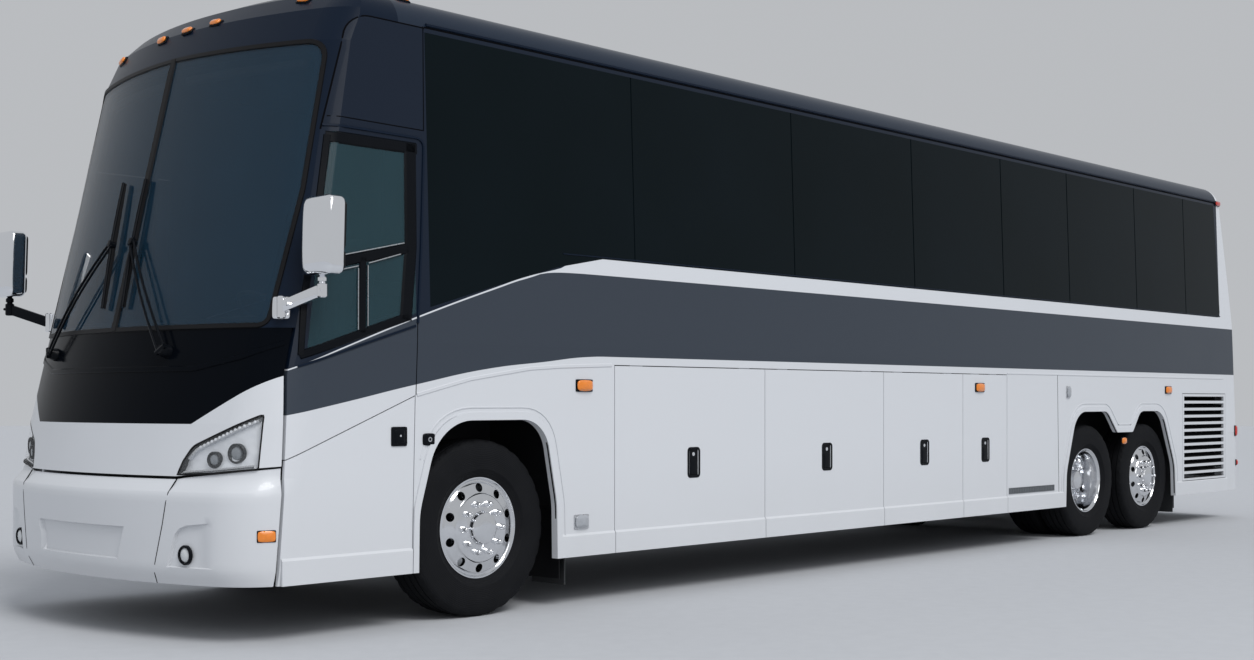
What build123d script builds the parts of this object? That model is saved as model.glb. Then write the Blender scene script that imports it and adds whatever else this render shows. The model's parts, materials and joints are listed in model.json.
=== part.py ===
from build123d import *
from math import hypot, sqrt
import os

os.makedirs("parts", exist_ok=True)

# Driving dimensions, in millimetres. X runs forward, Y to the left, Z up; the floor is Z = 0.
WHEELBASE = 7700
TAG_SPACING = 1215
FRONT_OVERHANG = 1905
REAR_OVERHANG = 2350
WIDTH = 2590
HEIGHT = 3640
TYRE_RADIUS = 522
TYRE_WIDTH = 298
RIM_SEAT_RADIUS = 286
SILL_Z = 305
DOOR_TOP_Z = 1497
FLOOR_Z = 1350
WINDOW_BASE_Z = 2165

# Plan bow of the front and rear faces, and the radius of the upright corners
FRONT_BOW = 3250
FRONT_CORNER = 350
REAR_BOW = 6000
REAR_CORNER = 130

# Grip pockets, louvres and wheel hand holes
GRIP_WIDTH = 90
GRIP_HEIGHT = 200
GRIP_DEPTH = 10
GRIP_Z = 857
LOUVRE_COUNT = 12
LOUVRE_OPEN = 45
LOUVRE_LEAN = 18
LOUVRE_FRAME = 40
HAND_HOLES = 10
HAND_HOLE_RADIUS = 22

# Named thicknesses and clearances
WALL = 40
FACE_WALL = 30
DOOR_WALL = 25
GLASS = 10
LAMP_DEPTH = 60
SEAT = 0.3
DOOR_GAP = 6
CORNER_GAP = 16
FACE_GAP = 10
LEAF_DEPTH = 12
LEAF_LENGTH = 120
SKIRT_TOP_Z = 448
SKIRT_PROUD = 10
LIP_WIDTH = 45
LIP_PROUD = 10
TWIN_SPACING = 333
SPINDLE_RADIUS = 60
KINGPIN_RADIUS = 20

# Stations tied to the driving dimensions
LENGTH = FRONT_OVERHANG + WHEELBASE + TAG_SPACING + REAR_OVERHANG
NOSE_X = LENGTH / 2
TAIL_X = -LENGTH / 2
FRONT_X = NOSE_X - FRONT_OVERHANG
DRIVE_X = FRONT_X - WHEELBASE
TAG_X = DRIVE_X - TAG_SPACING
HALF = WIDTH / 2
AXLE_Z = TYRE_RADIUS
TYRE_FACE_Y = HALF - 60
WHEEL_Y = TYRE_FACE_Y - TYRE_WIDTH / 2
INNER_Y = WHEEL_Y - TWIN_SPACING
KINGPIN_Y = WHEEL_Y - 186
WINDOW_TOP_Z = HEIGHT - 265
ROOF_SEAM_Z = HEIGHT - 253
SCREEN_TOP_Z = HEIGHT - 406
SCREEN_BASE_Z = 1655
CAB_TOP_Z = HEIGHT - 907
BAY_FRONT_X = FRONT_X - 1084
BAY_REAR_X = DRIVE_X + 715
BAY_SPAN = BAY_FRONT_X - BAY_REAR_X
SKIN_Y = HALF - WALL
REAR_SEAM_X = TAIL_X + 475
GLASS_FRONT_X = FRONT_X + 440
GLASS_REAR_X = TAIL_X + 605
GLASS_SPAN = GLASS_FRONT_X - GLASS_REAR_X
BIG = 20000

# Rows of level and setback from the nose, then from the tail
FRONT_PROFILE = [
    (-500, 40),
    (300, 40),
    (380, 0),
    (780, 0),
    (865, 60),
    (1150, 115),
    (1640, 235),
    (SCREEN_TOP_Z, 620),
    (HEIGHT - 210, 715),
    (HEIGHT - 100, 835),
    (HEIGHT - 40, 985),
    (HEIGHT + 60, 1450),
]
REAR_PROFILE = [
    (-500, 0),
    (900, 0),
    (2100, 110),
    (WINDOW_TOP_Z, 407),
    (HEIGHT + 60, 570),
]

# Rows of bay door name and of the two ends of the door, as shares of the bay length
BAY_DOORS = [
    ("bay_door_1", 0.0, 0.2645),
    ("bay_door_2", 0.2645, 0.5196),
    ("bay_door_3", 0.5196, 0.7194),
    ("service_door", 0.7194, 0.8431),
]
# Window separators as shares of the glazed length, from the front
SEPARATORS = [0.1564, 0.3121, 0.4564, 0.5840, 0.6927, 0.8184, 0.9220]


def front(distance):
    """Station measured forward from the front axle"""
    return FRONT_X + distance


def bowed_stack(profile, end_x, bow, corner, inset, sense):
    """Solid with one bowed plan carried through the levels of a profile"""
    half = HALF - inset
    centre_x = -bow + sqrt((bow - corner) ** 2 - (HALF - corner) ** 2)
    along = (centre_x + bow) / (bow - corner)
    across = (HALF - corner) / (bow - corner)
    bow_end = (-bow + (bow - inset) * along, (bow - inset) * across)
    turn_x = along / hypot(along, across + 1)
    turn_y = (across + 1) / hypot(along, across + 1)
    turn = (centre_x + (corner - inset) * turn_x, HALF - corner + (corner - inset) * turn_y)
    with BuildPart() as stack:
        for (low_z, low_set), (high_z, high_set) in zip(profile, profile[1:]):
            base_x = end_x - sense * low_set
            lean = -sense * (high_set - low_set)
            rise = high_z - low_z

            def place(point, side):
                return (base_x + sense * point[0], side * point[1])

            with BuildSketch(Plane.XY.offset(low_z)):
                with BuildLine():
                    ThreePointArc(place(bow_end, -1), (base_x - sense * inset, 0), place(bow_end, 1))
                    ThreePointArc(place(bow_end, 1), place(turn, 1), place((centre_x, half), 1))
                    ThreePointArc(place(bow_end, -1), place(turn, -1), place((centre_x, half), -1))
                    Polyline(
                        place((centre_x, half), 1),
                        place((-BIG, half), 1),
                        place((-BIG, half), -1),
                        place((centre_x, half), -1),
                    )
                make_face()
            extrude(amount=hypot(lean, rise), dir=(lean, 0, rise))
    return stack.part


def envelope(inset):
    """The closed outer form of the coach, drawn in by the given wall"""
    with BuildPart() as form:
        with BuildSketch(Plane.YZ) as section:
            with BuildLine():
                Line((-HALF, -400), (HALF, -400))
                Polyline((HALF, -400), (HALF, 1600), (HALF - 60, WINDOW_TOP_Z))
                Polyline((-HALF, -400), (-HALF, 1600), (-HALF + 60, WINDOW_TOP_Z))
                ThreePointArc(
                    (HALF - 60, WINDOW_TOP_Z), (HALF - 100, HEIGHT - 150), (HALF - 210, HEIGHT - 78)
                )
                ThreePointArc(
                    (-HALF + 60, WINDOW_TOP_Z), (-HALF + 100, HEIGHT - 150), (-HALF + 210, HEIGHT - 78)
                )
                ThreePointArc((HALF - 210, HEIGHT - 78), (0, HEIGHT), (-HALF + 210, HEIGHT - 78))
            make_face()
            if inset:
                offset(amount=-inset, kind=Kind.INTERSECTION)
                with Locations((0, -400)):
                    Rectangle(WIDTH - 2 * inset, 150)
        extrude(amount=LENGTH, both=True)
        nose = bowed_stack(FRONT_PROFILE, NOSE_X, FRONT_BOW, FRONT_CORNER, inset, 1)
        tail = bowed_stack(REAR_PROFILE, TAIL_X, REAR_BOW, REAR_CORNER, inset, -1)
        add(nose, mode=Mode.INTERSECT)
        add(tail, mode=Mode.INTERSECT)
    return form.part


def outline(points, rounds=(), grow=0):
    """Closed outline of straight edges, with listed corners rounded and the whole grown"""
    with BuildSketch() as flat:
        with BuildLine():
            Polyline(*points, close=True)
        make_face()
        for index, radius in rounds:
            corner = flat.vertices().sort_by_distance((points[index][0], points[index][1], 0))[0]
            fillet(corner, radius)
        if grow:
            offset(amount=grow, kind=Kind.INTERSECTION)
    return flat.sketch


def side_prism(shape, low_y=0, high_y=2000):
    """An X and Z outline carried across part of the left half"""
    with BuildPart() as prism:
        with BuildSketch(Plane(origin=(0, low_y, 0), x_dir=(1, 0, 0), z_dir=(0, -1, 0))):
            add(shape)
        extrude(amount=low_y - high_y)
    return prism.part


def face_prism(shape, low_x=0, high_x=BIG):
    """A Y and Z outline carried along the length"""
    with BuildPart() as prism:
        with BuildSketch(Plane.YZ.offset(low_x)):
            add(shape)
        extrude(amount=high_x - low_x)
    return prism.part


def block(low, high):
    """Box between two corners"""
    with BuildPart() as box:
        with Locations(low):
            size = [b - a for a, b in zip(low, high)]
            Box(size[0], size[1], size[2], align=(Align.MIN, Align.MIN, Align.MIN))
    return box.part


def rod(start, end, radius):
    """Round bar between two points"""
    span = Vector(*end) - Vector(*start)
    with BuildPart() as bar:
        with BuildSketch(Plane(origin=start, z_dir=span)):
            Circle(radius)
        extrude(amount=span.length)
    return bar.part


def spun(profile, x, z):
    """Ring turned round the wheel axis at X and Z; rows are of Y and radius"""
    with BuildPart() as ring:
        with BuildSketch(Plane(origin=(x, 0, z), x_dir=(0, 1, 0), z_dir=(1, 0, 0))):
            with BuildLine():
                Polyline(*profile, close=True)
            make_face()
        revolve(axis=Axis((x, 0, z), (0, 1, 0)))
    return ring.part


def cut_from(base, keep, cuts=(), joins=()):
    """The base inside one region, with pieces joined to it and others taken away"""
    with BuildPart() as piece:
        add(base)
        add(keep, mode=Mode.INTERSECT)
        for join in joins:
            add(join)
        for cut in cuts:
            add(cut, mode=Mode.SUBTRACT)
    return piece.part


def write(part, name):
    """Label one finished node and write it out"""
    part.label = name
    export_step(part, "parts/" + name + ".step")


def mirrored(part):
    """The same piece on the other side"""
    return mirror(part, about=Plane.XZ)


OUTER = envelope(0)
GLASS_CORE = envelope(GLASS)
REBATE_CORE = envelope(GLASS + SEAT)
FACE_CORE = envelope(FACE_WALL)
INNER = envelope(WALL)
LAMP_CORE = envelope(LAMP_DEPTH)

with BuildPart() as skirt_build:
    with BuildSketch(Plane.YZ.offset(REAR_SEAM_X)):
        with BuildLine():
            Polyline(
                (HALF - 5, SILL_Z),
                (HALF + SKIRT_PROUD, SILL_Z),
                (HALF + SKIRT_PROUD, SKIRT_TOP_Z - 14),
                (HALF, SKIRT_TOP_Z),
                (HALF - 5, SKIRT_TOP_Z),
                close=True,
            )
        make_face()
    extrude(amount=front(1458) - REAR_SEAM_X)
SKIRT = skirt_build.part


with BuildPart() as left_form:
    add(OUTER)
    add(block((-LENGTH, 0, SILL_Z), (LENGTH, 3000, HEIGHT + 200)), mode=Mode.INTERSECT)
    add(SKIRT)
LEFT_FORM = left_form.part
with BuildPart() as side_skin:
    add(LEFT_FORM)
    add(INNER, mode=Mode.SUBTRACT)
SIDE_SKIN = side_skin.part
DOOR_BACK_Y = HALF - DOOR_WALL

# Side view outlines, X and Z
FRONT_SEAM = [
    (front(1478), 250),
    (front(1389), 1407),
    (front(1299), 1804),
    (front(1259), 2125),
    (front(1138), CAB_TOP_Z),
    (front(960), ROOF_SEAM_Z),
]
SIDE_CORNER = 180
SIDE_LINE = FRONT_SEAM + [
    (TAIL_X + 625, ROOF_SEAM_Z),
    (REAR_SEAM_X, 2100),
    (REAR_SEAM_X, 250),
]
SIDE_ROUNDS = [(5, SIDE_CORNER)]
SIDE_REGION = outline(SIDE_LINE, SIDE_ROUNDS)
FRONT_ARCH = outline(
    [
        (front(540), 100),
        (front(532), 640),
        (front(380), 1157),
        (front(-455), 1157),
        (front(-558), 640),
        (front(-566), 100),
    ],
    [(2, 330), (3, 220), (1, 500), (4, 500)],
)
REAR_ARCHES = outline(
    [
        (DRIVE_X + 590, 100),
        (DRIVE_X + 570, 620),
        (DRIVE_X + 370, 1170),
        (DRIVE_X - 250, 1170),
        (DRIVE_X - 460, 968),
        (TAG_X + 424, 968),
        (TAG_X + 254, 1170),
        (TAG_X - 250, 1170),
        (TAG_X - 540, 620),
        (TAG_X - 570, 100),
    ],
    [(1, 400), (2, 250), (3, 150), (4, 40), (5, 40), (6, 150), (7, 250), (8, 400)],
)
GLASS_LINE = [
    (GLASS_FRONT_X, WINDOW_TOP_Z - 12),
    (GLASS_FRONT_X, 1800),
    (front(-90), 1953),
    (front(-592), 2090),
    (front(-994), WINDOW_BASE_Z),
    (GLASS_REAR_X, WINDOW_BASE_Z),
    (GLASS_REAR_X + 85, WINDOW_TOP_Z - 12),
]
GLAZING = outline(GLASS_LINE, [(5, 60), (3, 600)])
GLAZING_CUT = outline(GLASS_LINE, [(5, 60), (3, 600)], SEAT)
CAB_FRAME = [
    (front(1105), CAB_TOP_Z - 10),
    (front(545), CAB_TOP_Z - 10),
    (front(545), 1759),
    (front(1285), 1528),
]
CAB_WINDOW = outline(CAB_FRAME, [(0, 30), (1, 30), (2, 20), (3, 20)])
CAB_WINDOW_CUT = outline(CAB_FRAME, [(0, 30), (1, 30), (2, 20), (3, 20)], SEAT)
CAB_OPENING = outline(CAB_FRAME, (), -45)
SERVICE_LINE = [
    (front(585), SILL_Z - 50),
    (front(1474), SILL_Z - 50),
    (front(1424), 955),
    (front(560), 1294),
]
SERVICE_OPENING = [
    (front(585), SILL_Z - 50),
    (front(1540), SILL_Z - 50),
    (front(1490), 929),
    (front(560), 1294),
]
ENTRANCE_LINE = [
    (front(585), SILL_Z - 50),
    (front(1474), SILL_Z - 50),
    (front(1383), 1407),
    (front(1293), 1804),
    (front(1253), 2125),
    (front(1132), CAB_TOP_Z),
    (front(548), CAB_TOP_Z),
]
ENTRANCE_OPENING = [(x + 60, z) if x > front(700) else (x, z) for x, z in ENTRANCE_LINE]
ENTRANCE_GLASS_LINE = [
    (front(640), 1120),
    (front(1325), 1120),
    (front(1300), 1407),
    (front(1212), 1804),
    (front(1172), 2125),
    (front(1065), CAB_TOP_Z - 70),
    (front(610), CAB_TOP_Z - 70),
]
RADIATOR_LINE = [
    (TAG_X - 745, SKIRT_TOP_Z),
    (TAG_X - 745, 1342),
    (REAR_SEAM_X + 40, 1342),
    (REAR_SEAM_X + 40, SKIRT_TOP_Z),
]


def lip(shape):
    """Raised rim round an arch"""
    with BuildPart() as rim:
        with BuildSketch(Plane(origin=(0, SKIN_Y, 0), x_dir=(1, 0, 0), z_dir=(0, -1, 0))):
            add(shape)
            offset(amount=LIP_WIDTH, kind=Kind.INTERSECTION)
            add(shape, mode=Mode.SUBTRACT)
        extrude(amount=SKIN_Y - HALF - LIP_PROUD)
        keep = block((-BIG, 0, SILL_Z), (front(575), 3000, 2000))
        add(keep, mode=Mode.INTERSECT)
    return rim.part


def bay_outline(start, end, grow=0):
    """Outline of one underfloor door between two shares of the bay length"""
    high = BAY_FRONT_X - start * BAY_SPAN - DOOR_GAP / 2
    low = BAY_FRONT_X - end * BAY_SPAN + DOOR_GAP / 2
    points = [(low, 200), (low, DOOR_TOP_Z - 5), (high, DOOR_TOP_Z - 5), (high, 200)]
    return outline(points, (), grow)


def window_outlines():
    """Openings behind the glazing, one between each pair of separators"""
    shares = [0] + SEPARATORS + [1]
    low_z = WINDOW_BASE_Z + 55
    high_z = WINDOW_TOP_Z - 55
    found = []
    for start, end in zip(shares, shares[1:]):
        high = GLASS_FRONT_X - start * GLASS_SPAN - 50
        low = GLASS_FRONT_X - end * GLASS_SPAN + 50
        points = [(low, low_z), (low, high_z), (high, high_z), (high, low_z)]
        rounds = [(0, 60), (1, 60), (2, 60), (3, 60)]
        if start == 0:
            points = [
                (low, low_z),
                (low, high_z),
                (high, high_z),
                (high, 1885),
                (front(-90), 2013),
                (front(-592), 2150),
                (front(-994), low_z),
            ]
            rounds = [(0, 60), (1, 60), (2, 60), (3, 60)]
        if end == 1:
            points[1] = (low + 70, high_z)
        found.append(outline(points, rounds))
    return found


def windows_cut():
    """All window openings of one side as one cutter"""
    with BuildPart() as cutter:
        for shape in window_outlines():
            add(side_prism(shape, 800))
    return cutter.part


def glazing_groove():
    """Upright joints scored in the outside of the glazing"""
    with BuildPart() as grooves:
        for share in SEPARATORS:
            x = GLASS_FRONT_X - share * GLASS_SPAN
            add(block((x - 7, 800, 1500), (x + 7, 2000, HEIGHT)))
    deep = envelope(4)
    with BuildPart() as scored:
        add(grooves.part)
        add(deep, mode=Mode.SUBTRACT)
    return scored.part


arch_cuts = [side_prism(FRONT_ARCH, 600), side_prism(REAR_ARCHES, 600)]
lips = [lip(FRONT_ARCH), lip(REAR_ARCHES)]
with BuildPart() as rebate_build:
    add(side_prism(GLAZING_CUT, 800))
    add(REBATE_CORE, mode=Mode.SUBTRACT)
GLAZING_REBATE = rebate_build.part
with BuildPart() as cab_rebate_build:
    add(side_prism(CAB_WINDOW_CUT, 800))
    add(REBATE_CORE, mode=Mode.SUBTRACT)
CAB_REBATE = cab_rebate_build.part
WINDOWS = windows_cut()
SIDE_BODY = side_prism(SIDE_REGION, 600)

# Both sides share the arches, the glazing and three bay openings
shared_cuts = arch_cuts + [GLAZING_REBATE, WINDOWS]
bay_cuts = {}
for name, start, end in BAY_DOORS:
    bay_cuts[name] = side_prism(bay_outline(start, end, DOOR_GAP), 600)

left_cuts = shared_cuts + list(bay_cuts.values())
left_cuts += [
    CAB_REBATE,
    side_prism(CAB_OPENING, 800),
    side_prism(outline(SERVICE_OPENING, (), DOOR_GAP), 800),
    side_prism(outline(RADIATOR_LINE, (), DOOR_GAP), 800),
]
left_side = cut_from(SIDE_SKIN, SIDE_BODY, left_cuts, lips)
write(left_side, "left_side_panel")

right_cuts = shared_cuts + [bay_cuts["bay_door_1"], bay_cuts["bay_door_2"], bay_cuts["bay_door_3"]]
right_cuts += [side_prism(outline(ENTRANCE_OPENING, (), DOOR_GAP), 800)]
right_side = cut_from(SIDE_SKIN, SIDE_BODY, right_cuts, lips)
write(mirrored(right_side), "right_side_panel")

# Glazing of the two sides and the cab
side_glass = cut_from(OUTER, side_prism(GLAZING, 800), [GLASS_CORE, glazing_groove()])
write(side_glass, "left_side_glass")
write(mirrored(side_glass), "right_side_glass")
cab_glass = cut_from(OUTER, side_prism(CAB_WINDOW, 800), [GLASS_CORE])
write(cab_glass, "cab_side_glass")

# Doors in the sides, each hung on hinge leaves behind its seam or on arms to the front bulkhead
BULKHEAD_Y = SKIN_Y - 155
for name, start, end in BAY_DOORS:
    high_x = BAY_FRONT_X - start * BAY_SPAN
    low_x = BAY_FRONT_X - end * BAY_SPAN
    leaves = []
    for x in (low_x + 220, high_x - 220):
        low = (x - LEAF_LENGTH / 2, DOOR_BACK_Y, DOOR_TOP_Z - 25)
        high = (x + LEAF_LENGTH / 2, DOOR_BACK_Y + LEAF_DEPTH, DOOR_TOP_Z - 5 + DOOR_GAP - SEAT)
        leaves.append(block(low, high))
    middle_x = (low_x + high_x) / 2
    pocket = block(
        (middle_x - GRIP_WIDTH / 2, HALF - GRIP_DEPTH, GRIP_Z - GRIP_HEIGHT / 2),
        (middle_x + GRIP_WIDTH / 2, HALF + GRIP_DEPTH, GRIP_Z + GRIP_HEIGHT / 2),
    )
    door = cut_from(LEFT_FORM, side_prism(bay_outline(start, end), DOOR_BACK_Y), [pocket], leaves)
    write(door, "left_" + name)
    if name != "service_door":
        write(mirrored(door), "right_" + name)
service_arms = [
    block((front(1364), BULKHEAD_Y + SEAT, z), (front(1390), HALF - 20, z + 50)) for z in (500, 800)
]
service_shape = side_prism(outline(SERVICE_LINE), DOOR_BACK_Y - 8)
write(cut_from(LEFT_FORM, service_shape, (), service_arms), "front_service_door")
radiator_leaves = []
for z in (620, 1100):
    low = (TAG_X - 770, DOOR_BACK_Y, z)
    high = (TAG_X - 745 + DOOR_GAP - SEAT, DOOR_BACK_Y + LEAF_DEPTH, z + LEAF_LENGTH)
    radiator_leaves.append(block(low, high))


def louvre_slots(start, end, low_z, high_z, count, outer_y, inner_y):
    """Leaning slots between two stations, evenly stacked between two levels"""
    pitch = (high_z - low_z) / count
    with BuildPart() as slots:
        for index in range(count):
            z = low_z + index * pitch + (pitch - LOUVRE_OPEN) / 2
            with BuildSketch(Plane.YZ.offset(start)):
                with BuildLine():
                    Polyline(
                        (outer_y, z),
                        (outer_y, z + LOUVRE_OPEN),
                        (inner_y, z + LOUVRE_OPEN + LOUVRE_LEAN),
                        (inner_y, z + LOUVRE_LEAN),
                        close=True,
                    )
                make_face()
            extrude(amount=end - start)
    return slots.part


radiator_slots = louvre_slots(
    RADIATOR_LINE[2][0] + LOUVRE_FRAME,
    RADIATOR_LINE[0][0] - LOUVRE_FRAME,
    SKIRT_TOP_Z,
    RADIATOR_LINE[1][1] - LOUVRE_FRAME / 2,
    LOUVRE_COUNT,
    HALF + LOUVRE_FRAME / 2,
    DOOR_BACK_Y,
)
radiator_shape = side_prism(outline(RADIATOR_LINE), DOOR_BACK_Y)
write(cut_from(LEFT_FORM, radiator_shape, [radiator_slots], radiator_leaves), "radiator_door")

with BuildPart() as pane_rebate:
    add(side_prism(outline(ENTRANCE_GLASS_LINE, (), SEAT), 800))
    add(REBATE_CORE, mode=Mode.SUBTRACT)
pane_opening = side_prism(outline(ENTRANCE_GLASS_LINE, (), -45), 800)
entrance_arms = [
    block((front(1364), BULKHEAD_Y + SEAT, z), (front(1390), SKIN_Y + 20, z + 50)) for z in (500, 1230)
]
entrance_shape = side_prism(outline(ENTRANCE_LINE), 800)
entrance = cut_from(SIDE_SKIN, entrance_shape, [pane_rebate.part, pane_opening], entrance_arms)
write(mirrored(entrance), "entrance_door")
entrance_pane = cut_from(OUTER, side_prism(outline(ENTRANCE_GLASS_LINE), 800), [GLASS_CORE])
write(mirrored(entrance_pane), "entrance_glass")

# Front face: bumper, white nose panel, black dash panel, cap and windscreen
def face_region(gap):
    """Everything ahead of the front seam, set off by a gap"""
    points = [(x + gap, z) for x, z in FRONT_SEAM[:5]]
    points[0] = (points[0][0] + 20, 0)
    points += [(front(960) + gap, ROOF_SEAM_Z), (front(3000), ROOF_SEAM_Z), (front(3000), 0)]
    with BuildPart() as region:
        add(side_prism(outline(points), -2000, 2000))
    return region.part


def mirrored_line(points):
    """Full-width outline from the points of its left edge, listed upward"""
    return [(-y, z) for y, z in reversed(points)] + points


LOWER_FRONT = face_region(CORNER_GAP)
FACE_HALF = HALF + 105
BUMPER_TOP = [(HALF - 525, 862), (HALF - 115, 905), (FACE_HALF, 935)]
NOSE_TOP = [(HALF - 482, 1147), (HALF - 54, 1400), (FACE_HALF, 1494)]
bumper_area = outline(
    [(-FACE_HALF, SILL_Z), (FACE_HALF, SILL_Z)] + list(reversed(mirrored_line(BUMPER_TOP)))
)
nose_low = [(y, z + FACE_GAP) for y, z in BUMPER_TOP]
nose_area = outline(mirrored_line(nose_low) + list(reversed(mirrored_line(NOSE_TOP))))
dash_low = [(y, z + SEAT) for y, z in NOSE_TOP]
dash_area = outline(mirrored_line(dash_low) + [(FACE_HALF, SCREEN_BASE_Z), (-FACE_HALF, SCREEN_BASE_Z)])
LAMP_LINE = [
    (HALF - 520, 880),
    (HALF - 493, 955),
    (HALF - 445, 1030),
    (HALF - 88, 1199),
    (HALF - 77, 915),
    (HALF - 295, 892),
]
LAMP_ROUND = 60
lamp_cut = face_prism(outline(LAMP_LINE, [(2, LAMP_ROUND)]))
lamp_keep = face_prism(outline(LAMP_LINE, [(2, LAMP_ROUND)], -SEAT))
rail_ribs = [
    cut_from(FACE_CORE, block((front(1620), y - 40, 650), (NOSE_X, y + 40, 750))) for y in (-420, 420)
]
wall_ribs = [
    cut_from(FACE_CORE, block((front(1400), y - 30, z), (NOSE_X, y + 30, z + 90)))
    for y, z in ((-500, 960), (500, 960), (-500, 1450), (500, 1450))
]


def face_piece(area, ribs=(), cuts=()):
    """One panel of the front face with its mounting ribs"""
    with BuildPart() as piece:
        add(OUTER)
        add(LOWER_FRONT, mode=Mode.INTERSECT)
        add(face_prism(area), mode=Mode.INTERSECT)
        add(FACE_CORE, mode=Mode.SUBTRACT)
        for cut in cuts:
            add(cut, mode=Mode.SUBTRACT)
        for rib in ribs:
            add(rib)
    return piece.part


PLATE_RECESS = [(-400, 430), (-460, 600), (460, 600), (400, 430)]
FOG_Y = HALF - 403
FOG_Z = 464
FOG_POCKET = [
    (FOG_Y - 90, 405),
    (FOG_Y - 82, 516),
    (FOG_Y - 4, 606),
    (FOG_Y + 176, 630),
    (FOG_Y + 130, 405),
]
with BuildPart() as bumper_pockets:
    add(face_prism(outline(PLATE_RECESS)))
    add(face_prism(outline(FOG_POCKET, [(2, 60)])))
    add(mirrored(face_prism(outline(FOG_POCKET, [(2, 60)]))))
    add(GLASS_CORE, mode=Mode.SUBTRACT)
write(face_piece(bumper_area, rail_ribs, [bumper_pockets.part]), "front_bumper")
nose_panel = face_piece(nose_area, wall_ribs[:2], [lamp_cut, mirrored(lamp_cut)])
write(nose_panel, "nose_panel")
write(face_piece(dash_area, wall_ribs[2:]), "dash_panel")
headlamp = cut_from(OUTER, lamp_keep, [LAMP_CORE])
headlamp = cut_from(headlamp, LOWER_FRONT)
write(headlamp, "left_headlamp")
write(mirrored(headlamp), "right_headlamp")

SCREEN_LINE = [
    (14, 1674),
    (HALF - 155, 1674),
    (HALF - 123, 2400),
    (HALF - 145, SCREEN_TOP_Z - 22),
    (14, SCREEN_TOP_Z - 2),
]
SCREEN_OPENING = [
    (38, 1714),
    (HALF - 195, 1714),
    (HALF - 163, 2400),
    (HALF - 187, SCREEN_TOP_Z - 62),
    (38, SCREEN_TOP_Z - 44),
]
screen_rounds = [(1, 40), (3, 90)]
screen_keep = face_prism(outline(SCREEN_LINE, screen_rounds))
pane = cut_from(OUTER, screen_keep, [GLASS_CORE])
write(pane, "left_windscreen")
write(mirrored(pane), "right_windscreen")

with BuildPart() as screen_rebate:
    add(face_prism(outline(SCREEN_LINE, screen_rounds, SEAT)))
    add(REBATE_CORE, mode=Mode.SUBTRACT)
screen_opening = face_prism(outline(SCREEN_OPENING, screen_rounds))
side_region_grown = outline(SIDE_LINE, SIDE_ROUNDS, SEAT)
with BuildPart() as cap_zone:
    add(block((front(630), -2000, ROOF_SEAM_Z - SIDE_CORNER), (front(3000), 2000, HEIGHT + 200)))
    add(block((front(900), -2000, SCREEN_BASE_Z + SEAT), (front(3000), 2000, ROOF_SEAM_Z)))
    add(side_prism(side_region_grown, -2000, 2000), mode=Mode.SUBTRACT)
with BuildPart() as cap:
    add(OUTER)
    add(cap_zone.part, mode=Mode.INTERSECT)
    add(INNER, mode=Mode.SUBTRACT)
    for piece in (screen_rebate.part, screen_opening):
        add(piece, mode=Mode.SUBTRACT)
        add(mirrored(piece), mode=Mode.SUBTRACT)
write(cap.part, "front_cap")

# Roof from the cap to the tail
with BuildPart() as roof:
    add(OUTER)
    roof_zone = block((TAIL_X + 625, -2000, ROOF_SEAM_Z + SEAT), (front(630) - SEAT, 2000, HEIGHT + 200))
    add(roof_zone, mode=Mode.INTERSECT)
    add(INNER, mode=Mode.SUBTRACT)
write(roof.part, "roof_panel")

# Tail: cap with the engine door opening, and the bumper
TAIL_SPLIT_Z = 930
DOOR_HALF = HALF - 495
SLOT_HALF = DOOR_HALF - 200
engine_line = [(-DOOR_HALF, 980), (-DOOR_HALF, 1700), (DOOR_HALF, 1700), (DOOR_HALF, 980)]
tail_region_points = [
    (REAR_SEAM_X - SEAT, SILL_Z),
    (REAR_SEAM_X - SEAT, 2100),
    (TAIL_X + 625 - SEAT, ROOF_SEAM_Z),
    (TAIL_X + 625 - SEAT, HEIGHT + 100),
    (TAIL_X - 200, HEIGHT + 100),
    (TAIL_X - 200, SILL_Z),
]
tail_region = side_prism(outline(tail_region_points), -2000, 2000)
engine_cut = face_prism(outline(engine_line, [(0, 50), (1, 50), (2, 50), (3, 50)], DOOR_GAP), -BIG, 0)
engine_keep = face_prism(outline(engine_line, [(0, 50), (1, 50), (2, 50), (3, 50)]), -BIG, 0)
FRAME_X = TAIL_X + 320
tail_ribs = [
    cut_from(INNER, block((TAIL_X, y - 50, z), (FRAME_X, y + 50, z + 90)))
    for y, z in ((150 - BULKHEAD_Y, 1100), (BULKHEAD_Y - 150, 1100), (-420, 660), (420, 660))
]
with BuildPart() as tail_cap:
    add(OUTER)
    add(tail_region, mode=Mode.INTERSECT)
    add(block((-LENGTH, -3000, TAIL_SPLIT_Z + SEAT), (0, 3000, HEIGHT + 100)), mode=Mode.INTERSECT)
    add(INNER, mode=Mode.SUBTRACT)
    add(engine_cut, mode=Mode.SUBTRACT)
    add(tail_ribs[0])
    add(tail_ribs[1])
write(tail_cap.part, "rear_cap")
with BuildPart() as tail_bumper:
    add(OUTER)
    add(tail_region, mode=Mode.INTERSECT)
    add(block((-LENGTH, -3000, SILL_Z), (0, 3000, TAIL_SPLIT_Z)), mode=Mode.INTERSECT)
    add(INNER, mode=Mode.SUBTRACT)
    add(tail_ribs[2])
    add(tail_ribs[3])
write(tail_bumper.part, "rear_bumper")
tail_top_x = TAIL_X + 110 * (1700 - 900) / 1200
engine_leaves = []
for y in (-500, 500):
    low = (tail_top_x + 30, y - LEAF_LENGTH / 2, 1680)
    high = (tail_top_x + 30 + LEAF_DEPTH, y + LEAF_LENGTH / 2, 1700 + DOOR_GAP - SEAT)
    engine_leaves.append(block(low, high))
ENGINE_SLOTS = 8
engine_slots = []
for index in range(ENGINE_SLOTS):
    z = 1060 + index * 70
    engine_slots.append(block((TAIL_X - 200, -SLOT_HALF, z), (TAIL_X + 400, SLOT_HALF, z + 30)))
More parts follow.
